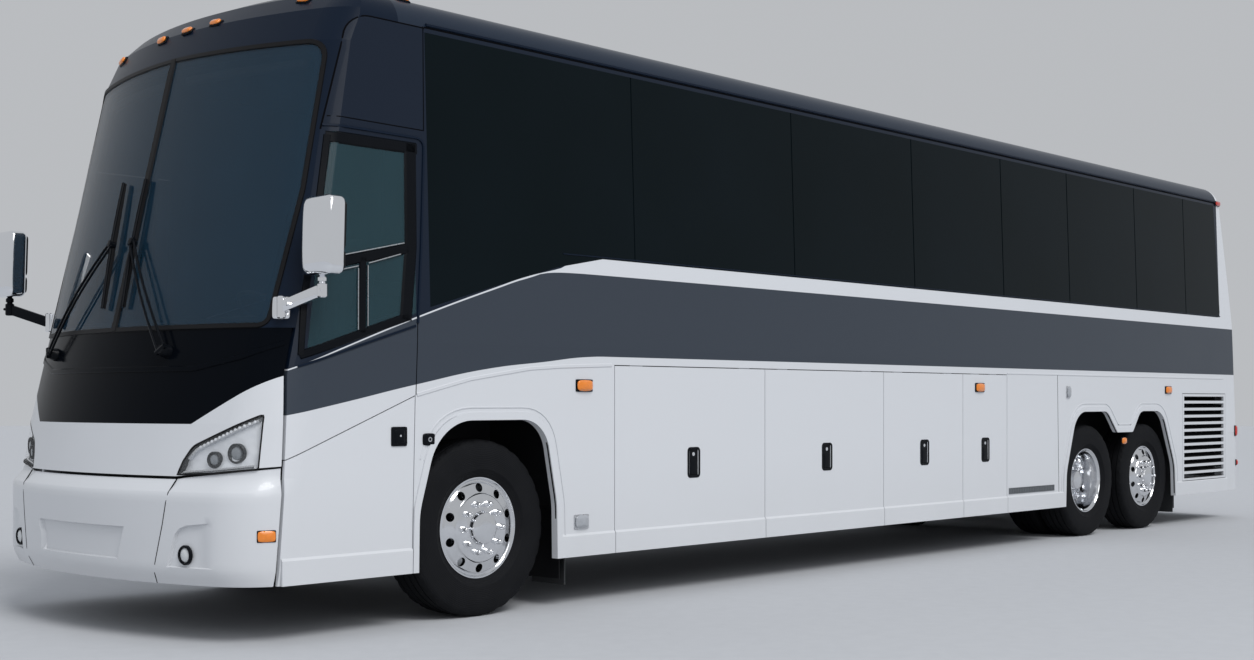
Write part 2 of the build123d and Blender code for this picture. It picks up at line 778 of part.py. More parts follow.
engine_door = cut_from(OUTER, engine_keep, [INNER] + engine_slots, engine_leaves)
write(engine_door, "engine_door")

# Floors, bulkheads, rails and steps, as plates and bars that touch face to face
UNDER_FLOOR_Z = FLOOR_Z - 40
BAY_FLOOR_Z = SILL_Z + 55
RAIL_LOW_Z = 640
RAIL_TOP_Z = 760
PLATE = 40
FRONT_WALL_X = front(700)
WELL_FRONT_X = FRONT_WALL_X - PLATE
WELL_REAR_X = front(-700)
BULKHEAD_X = front(1400)
REAR_WALL_X = TAG_X - 646
FLAP_Y = BULKHEAD_Y - 150


def assembled(pieces):
    """Touching solids kept apart in one node"""
    return Compound([piece.solid() for piece in pieces])


def pair(low_x, high_x, low_y, high_y, low_z, high_z):
    """The same block on the left and on the right"""
    left = block((low_x, low_y, low_z), (high_x, high_y, high_z))
    return [left, mirrored(left)]


write(block((FRAME_X, -SKIN_Y, UNDER_FLOOR_Z), (FRONT_WALL_X, SKIN_Y, FLOOR_Z)), "cabin_floor")

bay_walls = [BAY_FRONT_X - share * BAY_SPAN for share in (0, 0.2645, 0.5196, 0.7194, 0.8431, 1.0)]
bays = [block((BAY_REAR_X - PLATE / 2, -SKIN_Y, BAY_FLOOR_Z - 30), (WELL_REAR_X, SKIN_Y, BAY_FLOOR_Z))]
for x in bay_walls + [WELL_REAR_X - PLATE / 2]:
    bays.append(block((x - PLATE / 2, -SKIN_Y, BAY_FLOOR_Z), (x + PLATE / 2, SKIN_Y, UNDER_FLOOR_Z)))
write(assembled(bays), "luggage_bays")

front_frame = [
    block((WELL_FRONT_X, -SKIN_Y + 6, SILL_Z + 40), (FRONT_WALL_X, SKIN_Y - 6, UNDER_FLOOR_Z)),
    block((BULKHEAD_X - PLATE, -BULKHEAD_Y, 450), (BULKHEAD_X, BULKHEAD_Y, 1620)),
]
for low_x, high_x in (
    (WELL_REAR_X, WELL_FRONT_X),
    (FRONT_WALL_X, BULKHEAD_X - PLATE),
    (BULKHEAD_X, front(1620)),
):
    front_frame += pair(low_x, high_x, 380, 460, RAIL_LOW_Z, RAIL_TOP_Z)
front_frame += pair(WELL_REAR_X, WELL_FRONT_X, 520, 545, RAIL_LOW_Z, UNDER_FLOOR_Z)
front_frame += pair(WELL_REAR_X, WELL_REAR_X + 12, FLAP_Y, SKIN_Y - 20, 130, 620)
write(assembled(front_frame), "front_frame")

rear_bay_x = BAY_REAR_X - PLATE / 2
rear_frame = [
    block((REAR_WALL_X - PLATE, -SKIN_Y + 6, 450), (REAR_WALL_X, SKIN_Y - 6, UNDER_FLOOR_Z)),
    block((FRAME_X, -BULKHEAD_Y, 450), (FRAME_X + PLATE, BULKHEAD_Y, UNDER_FLOOR_Z)),
]
rear_frame += pair(FRAME_X + PLATE, REAR_WALL_X - PLATE, 380, 460, RAIL_LOW_Z, RAIL_TOP_Z)
rear_frame += pair(REAR_WALL_X, rear_bay_x, 380, 460, RAIL_LOW_Z, RAIL_TOP_Z)
rear_frame += pair(REAR_WALL_X, rear_bay_x, 520, 545, RAIL_TOP_Z, UNDER_FLOOR_Z)
rear_frame += pair(REAR_WALL_X, REAR_WALL_X + 12, FLAP_Y, SKIN_Y - 20, 130, 700)
write(assembled(rear_frame), "rear_frame")

# Rows of the low and high Y of a step, its underside and its top
STEPS = [
    (-SKIN_Y + 10, -BULKHEAD_Y + 150, 345, 375),
    (-BULKHEAD_Y + 150, -BULKHEAD_Y + 400, 345, 600),
    (-BULKHEAD_Y + 400, -460, 345, 820),
    (-460, -430, RAIL_TOP_Z, 960),
    (-460, BULKHEAD_Y, 960, 1000),
]
steps = [
    block((FRONT_WALL_X, low_y, low_z), (BULKHEAD_X - PLATE, high_y, high_z))
    for low_y, high_y, low_z, high_z in STEPS
]
write(assembled(steps), "entrance_steps")

# Driver's place
WHEEL_CENTRE = (front(1040), 620, 1740)
COLUMN_DROP = (0.55, 0, -0.835)


def down_column(distance):
    """Point on the steering column below the wheel"""
    return tuple(c + distance * d for c, d in zip(WHEEL_CENTRE, COLUMN_DROP))


with BuildPart() as dashboard:
    with BuildSketch(Plane(origin=(FRONT_X, -440, 0), x_dir=(1, 0, 0), z_dir=(0, -1, 0))):
        with BuildLine():
            Polyline(
                (1180, 1000),
                (1360, 1000),
                (1360, 1620),
                (1480, 1620),
                (1450, 1680),
                (1200, 1640),
                (1180, 1500),
                close=True,
            )
        make_face()
    extrude(amount=-1490)
    add(INNER, mode=Mode.INTERSECT)
    add(rod(down_column(330), down_column(190), 45))
write(dashboard.part, "dashboard")
with BuildPart() as steering:
    with BuildSketch(Plane(origin=WHEEL_CENTRE, z_dir=(-0.55, 0, 0.835))):
        Circle(235)
        Circle(205, mode=Mode.SUBTRACT)
    extrude(amount=30)
    with BuildSketch(Plane(origin=WHEEL_CENTRE, z_dir=(-0.55, 0, 0.835))):
        Rectangle(430, 40)
        Circle(60)
    extrude(amount=20)
    add(rod(WHEEL_CENTRE, down_column(190 - SEAT), 30))
write(steering.part, "steering_wheel")
with BuildPart() as seat:
    add(block((front(500), 380, FLOOR_Z + 60), (front(960), 860, FLOOR_Z + 190)))
    with BuildSketch(Plane(origin=(front(0), 390, 0), x_dir=(1, 0, 0), z_dir=(0, -1, 0))):
        with BuildLine():
            Polyline((520, FLOOR_Z + 150), (640, FLOOR_Z + 150), (540, 2240), (430, 2240), close=True)
        make_face()
    extrude(amount=-460)
    add(block((front(520), 500, FLOOR_Z), (front(690), 740, FLOOR_Z + 70)))
write(seat.part, "driver_seat")

# Outside mirrors on arms from the screen pillars
PILLAR_Y = HALF - 60
MIRROR_Y = HALF + 175
with BuildPart() as left_mirror:
    add(block((front(1345), PILLAR_Y - 115, 1685), (front(1425), PILLAR_Y + 27, 1790)))
    add(rod((front(1385), PILLAR_Y, 1740), (front(1305), MIRROR_Y, 1868), 24))
    add(rod((front(1305), MIRROR_Y, 1845), (front(1305), MIRROR_Y, 1960), 24))
    with BuildSketch(Plane.XY.offset(1928)):
        with Locations((front(1310), MIRROR_Y)):
            RectangleRounded(120, 220, 50)
    extrude(amount=405)
    chamfer(left_mirror.faces().sort_by(Axis.Z)[-1].edges(), 20)
    add(OUTER, mode=Mode.SUBTRACT)
write(left_mirror.part, "left_mirror")
with BuildPart() as right_mirror:
    add(block((front(1345), PILLAR_Y - 115, 1685), (front(1425), PILLAR_Y + 27, 1790)))
    add(rod((front(1395), PILLAR_Y, 1740), (front(1556), MIRROR_Y - 6, 1874), 24))
    add(rod((front(1560), MIRROR_Y, 1840), (front(1560), MIRROR_Y, 1960), 28))
    with BuildSketch(Plane.XY.offset(1928)):
        with Locations((front(1565), MIRROR_Y)):
            RectangleRounded(120, 220, 50)
    extrude(amount=405)
    chamfer(right_mirror.faces().sort_by(Axis.Z)[-1].edges(), 20)
    add(OUTER, mode=Mode.SUBTRACT)
write(mirrored(right_mirror.part), "right_mirror")

# Engine as one block on the rear rails
write(block((FRAME_X + 60, -520, 760), (TAG_X - 720, 520, FLOOR_Z - 60)), "engine_block")

# Axles
def axle_pads(x):
    """Spring seats between an axle and the rails"""
    return [block((x - 60, y - 35, AXLE_Z - 20), (x + 60, y + 35, 640)) for y in (-420, 420)]


with BuildPart() as front_axle:
    add(block((FRONT_X - 50, -KINGPIN_Y, AXLE_Z - 60), (FRONT_X + 50, KINGPIN_Y, AXLE_Z + 60)))
    for side in (-1, 1):
        y = side * KINGPIN_Y
        eye_space = block((FRONT_X - 60, y - 60, AXLE_Z - 200), (FRONT_X + 60, y + 60, AXLE_Z + 200))
        add(eye_space, mode=Mode.SUBTRACT)
        add(rod((FRONT_X, y, AXLE_Z - 70), (FRONT_X, y, AXLE_Z + 70), 42))
        inner_y = y - side * 62
        low = (FRONT_X - 30, min(y, inner_y), AXLE_Z - 40)
        high = (FRONT_X + 30, max(y, inner_y), AXLE_Z + 40)
        add(block(low, high))
        add(rod((FRONT_X, y, AXLE_Z - 140), (FRONT_X, y, AXLE_Z + 130), KINGPIN_RADIUS))
    for pad in axle_pads(FRONT_X):
        add(pad)
write(front_axle.part, "front_axle")

for name, x in (("drive_axle", DRIVE_X), ("tag_axle", TAG_X)):
    with BuildPart() as axle:
        add(rod((x, -WHEEL_Y + 20, AXLE_Z), (x, WHEEL_Y - 20, AXLE_Z), SPINDLE_RADIUS))
        if name == "drive_axle":
            add(rod((x, -200, AXLE_Z), (x, 200, AXLE_Z), 200))
        for pad in axle_pads(x):
            add(pad)
    write(axle.part, name)

# Steering knuckles and the track rod
PIVOT_X = FRONT_X - 250
LUG_GAP = 2
with BuildPart() as knuckle:
    for low_z, high_z in ((AXLE_Z - 140, AXLE_Z - 70 - LUG_GAP), (AXLE_Z + 70 + LUG_GAP, AXLE_Z + 130)):
        with BuildSketch(Plane.XY.offset(low_z)):
            with Locations((FRONT_X, KINGPIN_Y)):
                Circle(42)
            with Locations((FRONT_X, KINGPIN_Y + 30)):
                Rectangle(84, 60)
        extrude(amount=high_z - low_z)
    low = (FRONT_X - 60, KINGPIN_Y + 50, AXLE_Z - 140)
    high = (FRONT_X + 60, KINGPIN_Y + 75, AXLE_Z + 130)
    add(block(low, high))
    add(rod((FRONT_X, KINGPIN_Y + 60, AXLE_Z), (FRONT_X, WHEEL_Y + 90, AXLE_Z), SPINDLE_RADIUS))
    with BuildSketch(Plane.XY.offset(AXLE_Z - 140)):
        with Locations(((FRONT_X + PIVOT_X) / 2 - 10, KINGPIN_Y)):
            Rectangle(270, 36)
    extrude(amount=32)
    pin = rod((FRONT_X, KINGPIN_Y, 0), (FRONT_X, KINGPIN_Y, 1200), KINGPIN_RADIUS + SEAT)
    add(pin, mode=Mode.SUBTRACT)
    eye = rod((PIVOT_X, KINGPIN_Y, 0), (PIVOT_X, KINGPIN_Y, 1200), 12 + SEAT)
    add(eye, mode=Mode.SUBTRACT)
write(knuckle.part, "left_knuckle")
write(mirrored(knuckle.part), "right_knuckle")
with BuildPart() as track_rod:
    add(rod((PIVOT_X, -KINGPIN_Y, AXLE_Z - 177), (PIVOT_X, KINGPIN_Y, AXLE_Z - 177), 18))
    add(rod((PIVOT_X, KINGPIN_Y, AXLE_Z - 177), (PIVOT_X, KINGPIN_Y, AXLE_Z - 108), 12))
write(track_rod.part, "track_rod")

# Wheels: rows of Y from the wheel centre plane and radius
TREAD = TYRE_RADIUS
BEAD = RIM_SEAT_RADIUS + SEAT
TYRE_ROWS = [
    (-104, BEAD),
    (104, BEAD),
    (104, 299),
    (TYRE_WIDTH / 2, 340),
    (TYRE_WIDTH / 2, TREAD - 34),
    (TYRE_WIDTH / 2 - 33, TREAD),
    (-TYRE_WIDTH / 2 + 33, TREAD),
    (-TYRE_WIDTH / 2, TREAD - 34),
    (-TYRE_WIDTH / 2, 340),
    (-104, 299),
]
SINGLE_RIM = [
    (-114, 262),
    (-114, 298),
    (-105, 298),
    (-105, RIM_SEAT_RADIUS),
    (105, RIM_SEAT_RADIUS),
    (105, 298),
    (114, 298),
    (114, 262),
    (146, 190),
    (146, 95),
    (190, 95),
    (190, 0),
    (90 + SEAT, 0),
    (90 + SEAT, SPINDLE_RADIUS + SEAT),
    (-20, SPINDLE_RADIUS + SEAT),
    (-20, 110),
    (118, 110),
    (118, 185),
    (88, 262),
]
HUB_MID = -TWIN_SPACING / 2
TWIN_RIM = [
    (-TWIN_SPACING - 114, 262),
    (-TWIN_SPACING - 114, 298),
    (-TWIN_SPACING - 105, 298),
    (-TWIN_SPACING - 105, RIM_SEAT_RADIUS),
    (-TWIN_SPACING + 105, RIM_SEAT_RADIUS),
    (-TWIN_SPACING + 105, 298),
    (-TWIN_SPACING + 114, 298),
    (-TWIN_SPACING + 114, 274),
    (-114, 274),
    (-114, 298),
    (-105, 298),
    (-105, RIM_SEAT_RADIUS),
    (105, RIM_SEAT_RADIUS),
    (105, 298),
    (114, 298),
    (114, 262),
    (HUB_MID + 12, 262),
    (HUB_MID + 12, 110),
    (50, 110),
    (50, 0),
    (-20 + SEAT, 0),
    (-20 + SEAT, SPINDLE_RADIUS + SEAT),
    (-TWIN_SPACING - 60, SPINDLE_RADIUS + SEAT),
    (-TWIN_SPACING - 60, 110),
    (HUB_MID - 12, 110),
    (HUB_MID - 12, 262),
]


def shifted(rows, y):
    """Profile rows moved along the axle"""
    return [(a + y, r) for a, r in rows]


def drilled(rim, x, start_y, depth, radius):
    """The rim with a ring of hand holes through its disc"""
    with BuildPart() as wheel:
        add(rim)
        with BuildSketch(Plane(origin=(x, start_y, AXLE_Z), x_dir=(1, 0, 0), z_dir=(0, 1, 0))):
            with PolarLocations(radius, HAND_HOLES):
                Circle(HAND_HOLE_RADIUS)
        extrude(amount=depth, mode=Mode.SUBTRACT)
    return wheel.part


# Rows of name, station, profile, start and depth of the hand holes, and their circle's radius
for name, x, rows, start_y, depth, hole_circle in (
    ("front", FRONT_X, SINGLE_RIM, 60, 100, 236),
    ("drive", DRIVE_X, TWIN_RIM, HUB_MID - 30, 60, 215),
    ("tag", TAG_X, SINGLE_RIM, 60, 100, 236),
):
    turned = spun(shifted(rows, WHEEL_Y), x, AXLE_Z)
    rim = drilled(turned, x, WHEEL_Y + start_y, depth, hole_circle)
    tyre = spun(shifted(TYRE_ROWS, WHEEL_Y), x, AXLE_Z)
    write(rim, "left_" + name + "_rim")
    write(mirrored(rim), "right_" + name + "_rim")
    write(tyre, "left_" + name + "_tyre")
    write(mirrored(tyre), "right_" + name + "_tyre")
    if name == "drive":
        inner_tyre = spun(shifted(TYRE_ROWS, INNER_Y), x, AXLE_Z)
        write(inner_tyre, "left_inner_tyre")
        write(mirrored(inner_tyre), "right_inner_tyre")
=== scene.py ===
import json
from math import asin, cos, pi, radians, sin, sqrt, tau

import bmesh
import bpy
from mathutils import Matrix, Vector
from mathutils.bvhtree import BVHTree
from mathutils.geometry import delaunay_2d_cdt
from mathutils.kdtree import KDTree


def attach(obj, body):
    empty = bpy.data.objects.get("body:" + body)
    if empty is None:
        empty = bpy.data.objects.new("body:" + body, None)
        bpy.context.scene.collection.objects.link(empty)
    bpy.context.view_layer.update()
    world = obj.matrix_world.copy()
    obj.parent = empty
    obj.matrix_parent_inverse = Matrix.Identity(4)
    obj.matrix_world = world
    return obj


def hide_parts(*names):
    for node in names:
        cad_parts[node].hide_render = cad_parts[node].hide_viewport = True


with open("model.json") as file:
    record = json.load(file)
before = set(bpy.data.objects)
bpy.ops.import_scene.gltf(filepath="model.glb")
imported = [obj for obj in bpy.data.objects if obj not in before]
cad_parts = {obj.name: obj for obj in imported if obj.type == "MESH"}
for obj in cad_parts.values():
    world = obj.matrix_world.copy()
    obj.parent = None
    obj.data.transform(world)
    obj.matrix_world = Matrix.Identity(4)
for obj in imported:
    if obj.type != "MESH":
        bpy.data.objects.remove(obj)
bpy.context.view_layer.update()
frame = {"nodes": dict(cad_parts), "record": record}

# Driving dimensions, in metres, in the frame of the CAD
NOSE_X = 6.585
TAIL_X = -6.585
FRONT_X = 4.680
DRIVE_X = -3.020
TAG_X = -4.235
HALF = 1.295
AXLE_Z = 0.522
WHEEL_Y = 1.086
TWIN_SPACING = 0.333
FRONT_BOW = 3.250
FRONT_CORNER = 0.350
GLASS_REAR_X = TAIL_X + 0.605

# Rows of level and setback from the nose
FRONT_PROFILE = (
    (0.300, 0.040), (0.380, 0.000), (0.780, 0.000), (0.865, 0.060), (1.150, 0.115), (1.640, 0.235),
    (3.234, 0.620), (3.430, 0.715), (3.540, 0.835), (3.600, 0.985), (3.700, 1.450),
)
# Rows of level and half width
SECTION = ((0.0, HALF), (1.6, HALF), (3.375, 1.235))


def front(distance):
    """Station measured forward from the front axle"""
    return FRONT_X + distance


def ahead(points):
    """Points measured from the front axle, as X and Z of the frame"""
    return [(front(x), z) for x, z in points]


def read_rows(rows, value):
    """Straight-line reading of a table of two columns"""
    if value <= rows[0][0]:
        return rows[0][1]
    for (low, start), (high, end) in zip(rows, rows[1:]):
        if value <= high:
            return start + (end - start) * (value - low) / (high - low)
    return rows[-1][1]


# Places on the skin

CORNER_Y = HALF - FRONT_CORNER
CORNER_X = -FRONT_BOW + sqrt((FRONT_BOW - FRONT_CORNER) ** 2 - CORNER_Y**2)
BOW_END_Y = FRONT_BOW * CORNER_Y / (FRONT_BOW - FRONT_CORNER)
SLOPE_STEP = 0.004


def front_x(y, z):
    """Station of the front face at Y and Z"""
    if abs(y) <= BOW_END_Y:
        bow = -FRONT_BOW + sqrt(FRONT_BOW**2 - y * y)
    else:
        reach = min(abs(y) - CORNER_Y, FRONT_CORNER * 0.999)
        bow = CORNER_X + sqrt(FRONT_CORNER**2 - reach**2)
    return NOSE_X - read_rows(FRONT_PROFILE, z) + bow


def side_y(x, z):
    """Half width of the body at X and Z"""
    wide = read_rows(SECTION, z)
    into_corner = x - (NOSE_X - read_rows(FRONT_PROFILE, z)) - CORNER_X
    if into_corner > 0:
        into_corner = min(into_corner, FRONT_CORNER * 0.98)
        wide = min(wide, CORNER_Y + sqrt(FRONT_CORNER**2 - into_corner**2))
    return wide


def slopes(surface, u, v):
    """Rise of a surface along its two directions"""
    along_u = surface(u + SLOPE_STEP, v) - surface(u - SLOPE_STEP, v)
    along_v = surface(u, v + SLOPE_STEP) - surface(u, v - SLOPE_STEP)
    return along_u / (2 * SLOPE_STEP), along_v / (2 * SLOPE_STEP)


def on_front(y, z, lift):
    """Point on the front face, lifted off it"""
    slope_y, slope_z = slopes(front_x, y, z)
    normal = Vector((1, -slope_y, -slope_z)).normalized()
    return Vector((front_x(y, z), y, z)) + normal * lift


def on_side(sign):
    """Function that places X and Z on one side of the body, lifted off it"""

    def place(x, z, lift):
        slope_x, slope_z = slopes(side_y, x, z)
        normal = Vector((-slope_x, 1, -slope_z)).normalized()
        point = Vector((x, side_y(x, z), z)) + normal * lift
        return Vector((point.x, sign * point.y, point.z))

    return place


ON_LEFT = on_side(1)
ON_RIGHT = on_side(-1)
SIDES = (("left", 1, ON_LEFT), ("right", -1, ON_RIGHT))
NOT_SKIN = ("rim", "tyre", "mirror", "glass", "knuckle", "axle")


def skin_tree():
    """Search tree over the faces of the body's CAD nodes"""
    points = []
    faces = []
    for name, node in frame["nodes"].items():
        if not name.endswith(NOT_SKIN):
            start = len(points)
            points += [v.co.copy() for v in node.data.vertices]
            faces += [[start + i for i in f.vertices] for f in node.data.polygons]
    return BVHTree.FromPolygons(points, faces)


SKIN = skin_tree()


def skin_hit(origin, direction):
    """Point and outward normal where a line meets the body"""
    point, normal, _, _ = SKIN.ray_cast(Vector(origin), Vector(direction))
    if point is None:
        raise ValueError("no skin at " + str(tuple(origin)))
    if normal.dot(Vector(direction)) > 0:
        normal = -normal
    return point, normal


# Shader nodes


def link_or_set(tree, socket, value):
    """Give an input a number, a colour or another node's output"""
    if isinstance(value, bpy.types.NodeSocket):
        tree.links.new(value, socket)
    elif isinstance(value, (tuple, list)) and len(value) == 3 and socket.type == "RGBA":
        socket.default_value = (*value, 1.0)
    else:
        socket.default_value = value


def fill(node, inputs):
    """Give a node's inputs their values, keyed by name or number"""
    for key, value in inputs.items():
        link_or_set(node.id_data, node.inputs[key], value)


def add_node(tree, kind, inputs, **settings):
    """New node with its settings and inputs"""
    made = tree.nodes.new(kind)
    for key, value in settings.items():
        setattr(made, key, value)
    fill(made, inputs)
    return made


def maths(tree, operation, first, second=0.0):
    """Output of one arithmetic node"""
    return add_node(tree, "ShaderNodeMath", {0: first, 1: second}, operation=operation).outputs[0]


def times(tree, first, second):
    """Product of two values"""
    return maths(tree, "MULTIPLY", first, second)


def plus(tree, first, second):
    """Sum of two values"""
    return maths(tree, "ADD", first, second)


def wave(tree, value, turns):
    """Sine of a value that makes a number of turns for each unit"""
    return maths(tree, "SINE", times(tree, value, turns * tau))


def mix_colour(tree, factor, first, second):
    """Output that blends two colours"""
    inputs = {0: factor, 6: first, 7: second}
    return add_node(tree, "ShaderNodeMix", inputs, data_type="RGBA").outputs[2]


def shades(tree, factor, colour, low, high=1.0):
    """Output between a darker and a lighter shade of a colour"""
    return mix_colour(tree, factor, scaled(colour, low), scaled(colour, high))


def scaled(colour, share):
    """Colour times a number, at most 1 in each part"""
    return tuple(min(1.0, c * share) for c in colour)


def object_axes(tree):
    """Object coordinates and their three parts"""
    place = tree.nodes.new("ShaderNodeTexCoord").outputs["Object"]
    parts = add_node(tree, "ShaderNodeSeparateXYZ", {0: place}).outputs
    return place, parts[0], parts[1], parts[2]


def noise(tree, place, scale, detail, rough=0.5):
    """Grey noise at a scale"""
    inputs = {"Vector": place, "Scale": scale, "Detail": detail, "Roughness": rough}
    return add_node(tree, "ShaderNodeTexNoise", inputs).outputs["Fac"]


def spread(tree, value, low, high):
    """A value from 0 to 1 spread between two others"""
    inputs = {"Value": value, "To Min": low, "To Max": high}
    return add_node(tree, "ShaderNodeMapRange", inputs).outputs["Result"]


def share_of(tree, value, low, high):
    """How far a value has come from one number to another, from 0 to 1"""
    inputs = {"Value": value, "From Min": low, "From Max": high}
    return add_node(tree, "ShaderNodeMapRange", inputs).outputs["Result"]


def step_over(tree, value, edge, soft=0.0015):
    """0 below an edge and 1 above it, with a short ramp"""
    shifted = maths(tree, "SUBTRACT", value, edge)
    ramp = plus(tree, maths(tree, "DIVIDE", shifted, soft), 0.5)
    return add_node(tree, "ShaderNodeClamp", {0: ramp}).outputs[0]


def bump(tree, height, distance, strength=1.0):
    """Normal from a height"""
    inputs = {"Height": height, "Distance": distance, "Strength": strength}
    return add_node(tree, "ShaderNodeBump", inputs).outputs["Normal"]


def turned_radius(tree, across, up):
    """Distance from the local Y axis"""
    return maths(tree, "SQRT", plus(tree, times(tree, across, across), times(tree, up, up)))


def finish(name, recipe, *values, **settings):
    """Material whose shader takes the inputs that a recipe gives"""
    made = bpy.data.materials.new(name)
    made.use_nodes = True
    tree = made.node_tree
    fill(tree.nodes["Principled BSDF"], recipe(tree, *values, **settings))
    return made


def table_curve(tree, value, rows, bottom, top):
    """Reading of a table of X and height as a node curve"""
    low = rows[0][0]
    high = rows[-1][0]
    curve = add_node(tree, "ShaderNodeFloatCurve", {"Value": share_of(tree, value, low, high)})
    line = curve.mapping.curves[0]
    placed = [((x - low) / (high - low), (z - bottom) / (top - bottom)) for x, z in rows]
    line.points[0].location = placed[0]
    line.points[1].location = placed[-1]
    for spot in placed[1:-1]:
        line.points.new(*spot)
    for point in line.points:
        point.handle_type = "AUTO_CLAMPED"
    curve.mapping.update()
    return spread(tree, curve.outputs[0], bottom, top)


# Paint

WHITE = (0.668, 0.682, 0.706)
BAND_GREY = (0.040, 0.050, 0.066)
NIGHT = (0.005, 0.011, 0.024)
ROOF_NIGHT = (0.012, 0.021, 0.038)
ROAD_DUST = (0.33, 0.31, 0.28)
# Painted shade: near black laid on the slot walls of the louvred doors, where shadow falls
SLOT_SHADOW_BLACK = (0.004, 0.004, 0.005)

# Livery lines, as rows of X and Z
LINE_LEVELS = (1.1, 2.3)
BAND_LOW = ahead((
    (-14.0, 1.552), (-0.95, 1.548), (-0.42, 1.502), (-0.09, 1.470),
    (0.552, 1.361), (1.013, 1.269), (1.50, 1.175),
))
BAND_HIGH = ahead((
    (-14.0, 2.040), (-0.994, 2.062), (-0.592, 2.057), (-0.336, 2.008),
    (-0.09, 1.936), (0.552, 1.729), (1.013, 1.566), (1.50, 1.385),
))
STRIPE_HIGH = ahead((
    (-14.0, 2.165), (-0.994, 2.172), (-0.592, 2.078), (-0.336, 2.020),
    (-0.09, 1.946), (0.552, 1.738), (1.013, 1.574), (1.50, 1.392),
))
BAND_END_X = TAIL_X + 0.150
FLANK_Y = 1.215


def paint_coat(tree, colour, flake, ior, coat):
    """Finish a livery colour with orange peel, road film and clear coat"""
    place, _, _, height = object_axes(tree)
    film = noise(tree, place, 1.7, 5.0)
    dust = times(tree, share_of(tree, height, 0.9, 0.25), spread(tree, film, 0.02, 0.16))
    return {
        "Base Color": mix_colour(tree, dust, colour, ROAD_DUST),
        "Roughness": spread(tree, film, 0.30, 0.30 + flake),
        "Normal": bump(tree, noise(tree, place, 130.0, 2.0), 0.00006, 0.5),
        "IOR": ior,
        "Coat Weight": coat,
        "Coat IOR": 1.4,
        "Coat Roughness": 0.03,
    }


def soft_shade(tree, colour):
    """Colour that fades a little over the surface"""
    return shades(tree, noise(tree, object_axes(tree)[0], 1.1, 3.0), colour, 0.94, 1.04)


def livery(tree):
    """Side paint: white, a sloping grey band, a white stripe and night blue above"""
    place, along, across, height = object_axes(tree)
    low, high, stripe = [
        step_over(tree, height, table_curve(tree, along, rows, *LINE_LEVELS))
        for rows in (BAND_LOW, BAND_HIGH, STRIPE_HIGH)
    ]
    on_flank = step_over(tree, maths(tree, "ABSOLUTE", across), FLANK_Y)
    band = times(tree, times(tree, low, step_over(tree, along, BAND_END_X)), on_flank)
    night = times(tree, stripe, step_over(tree, along, GLASS_REAR_X + 0.010))
    grey = shades(tree, noise(tree, place, 420.0, 1.0), BAND_GREY, 0.86, 1.14)
    colour = mix_colour(tree, band, WHITE, grey)
    colour = mix_colour(tree, high, colour, scaled(WHITE, 1.02))
    return paint_coat(tree, mix_colour(tree, night, colour, NIGHT), 0.12, 1.25, 0.2)


def plain_paint(tree, colour, flake=0.10, ior=1.4, coat=0.45):
    """One livery colour in the same finish"""
    return paint_coat(tree, soft_shade(tree, colour), flake, ior, coat)


def louvred_paint(tree):
    """White paint whose slot walls, which face up or down, are left in shadow black"""
    facing_out = tree.nodes.new("ShaderNodeNewGeometry").outputs["True Normal"]
    upward = add_node(tree, "ShaderNodeSeparateXYZ", {0: facing_out}).outputs[2]
    walls = step_over(tree, maths(tree, "ABSOLUTE", upward), 0.45, 0.02)
    colour = mix_colour(tree, walls, soft_shade(tree, WHITE), SLOT_SHADOW_BLACK)
    return paint_coat(tree, colour, 0.10, 1.25, 0.2)


# Other finishes


def plain_surface(tree, colour, rough, grain, metal=0.0, depth=0.00015, shade=0.12, ior=1.5):
    """Slight changes of shade, gloss and height over its surface"""
    place = object_axes(tree)[0]
    fine = noise(tree, place, grain, 5.0, 0.6)
    return {
        "Base Color": shades(tree, noise(tree, place, 2.2, 4.0), colour, 1 - shade, 1 + shade),
        "Roughness": spread(tree, fine, rough * 0.8, rough * 1.2),
        "Normal": bump(tree, fine, depth),
        "Metallic": metal,
        "IOR": ior,
    }


def dark_glass(tree):
    """Near black privacy glazing with faint waviness"""
    waviness = noise(tree, object_axes(tree)[0], 0.9, 2.0)
    return {
        "Base Color": mix_colour(tree, waviness, (0.002, 0.005, 0.006), (0.004, 0.008, 0.011)),
        "Roughness": spread(tree, waviness, 0.012, 0.03),
        "Normal": bump(tree, waviness, 0.0012, 0.4),
        "IOR": 1.12,
        "Coat Weight": 0.12,
        "Coat IOR": 1.3,
        "Coat Roughness": 0.01,
    }


def see_through_glass(tree, tint, density, ior=1.3):
    """Clear glazing: gloss over a tinted pass-through that casts a light shadow"""
    film = noise(tree, object_axes(tree)[0], 3.0, 4.0)
    return {
        "Base Color": shades(tree, film, tint, 0.8),
        "Roughness": spread(tree, film, 0.0, 0.02),
        "Alpha": density,
        "IOR": ior,
        "Coat Weight": 0.3,
        "Coat Roughness": 0.01,
    }


def moulded_lens(tree, colour, ribs):
    """Moulded lamp lens with fine ribs"""
    place = object_axes(tree)[0]
    inputs = {"Vector": place, "Scale": ribs, "Distortion": 0.0}
    rib = add_node(tree, "ShaderNodeTexWave", inputs, wave_type="BANDS", bands_direction="DIAGONAL")
    cloudy = noise(tree, place, 60.0, 2.0)
    return {
        "Base Color": shades(tree, cloudy, colour, 0.72),
        "Normal": bump(tree, rib.outputs["Fac"], 0.0006, 0.7),
        "Roughness": spread(tree, cloudy, 0.08, 0.16),
        "Coat Weight": 1.0,
    }


POLISH_RINGS = 240.0


def brushed_metal(tree, colour, rough):
    """Polished metal with fine rings turned round the local Y axis"""
    place, across, _, up = object_axes(tree)
    film = noise(tree, place, 18.0, 4.0)
    ring = wave(tree, turned_radius(tree, across, up), POLISH_RINGS)
    return {
        "Base Color": shades(tree, film, colour, 0.84),
        "Roughness": spread(tree, film, rough * 0.7, rough * 1.4),
        "Normal": bump(tree, ring, 0.00002, 0.3),
        "Metallic": 1.0,
    }


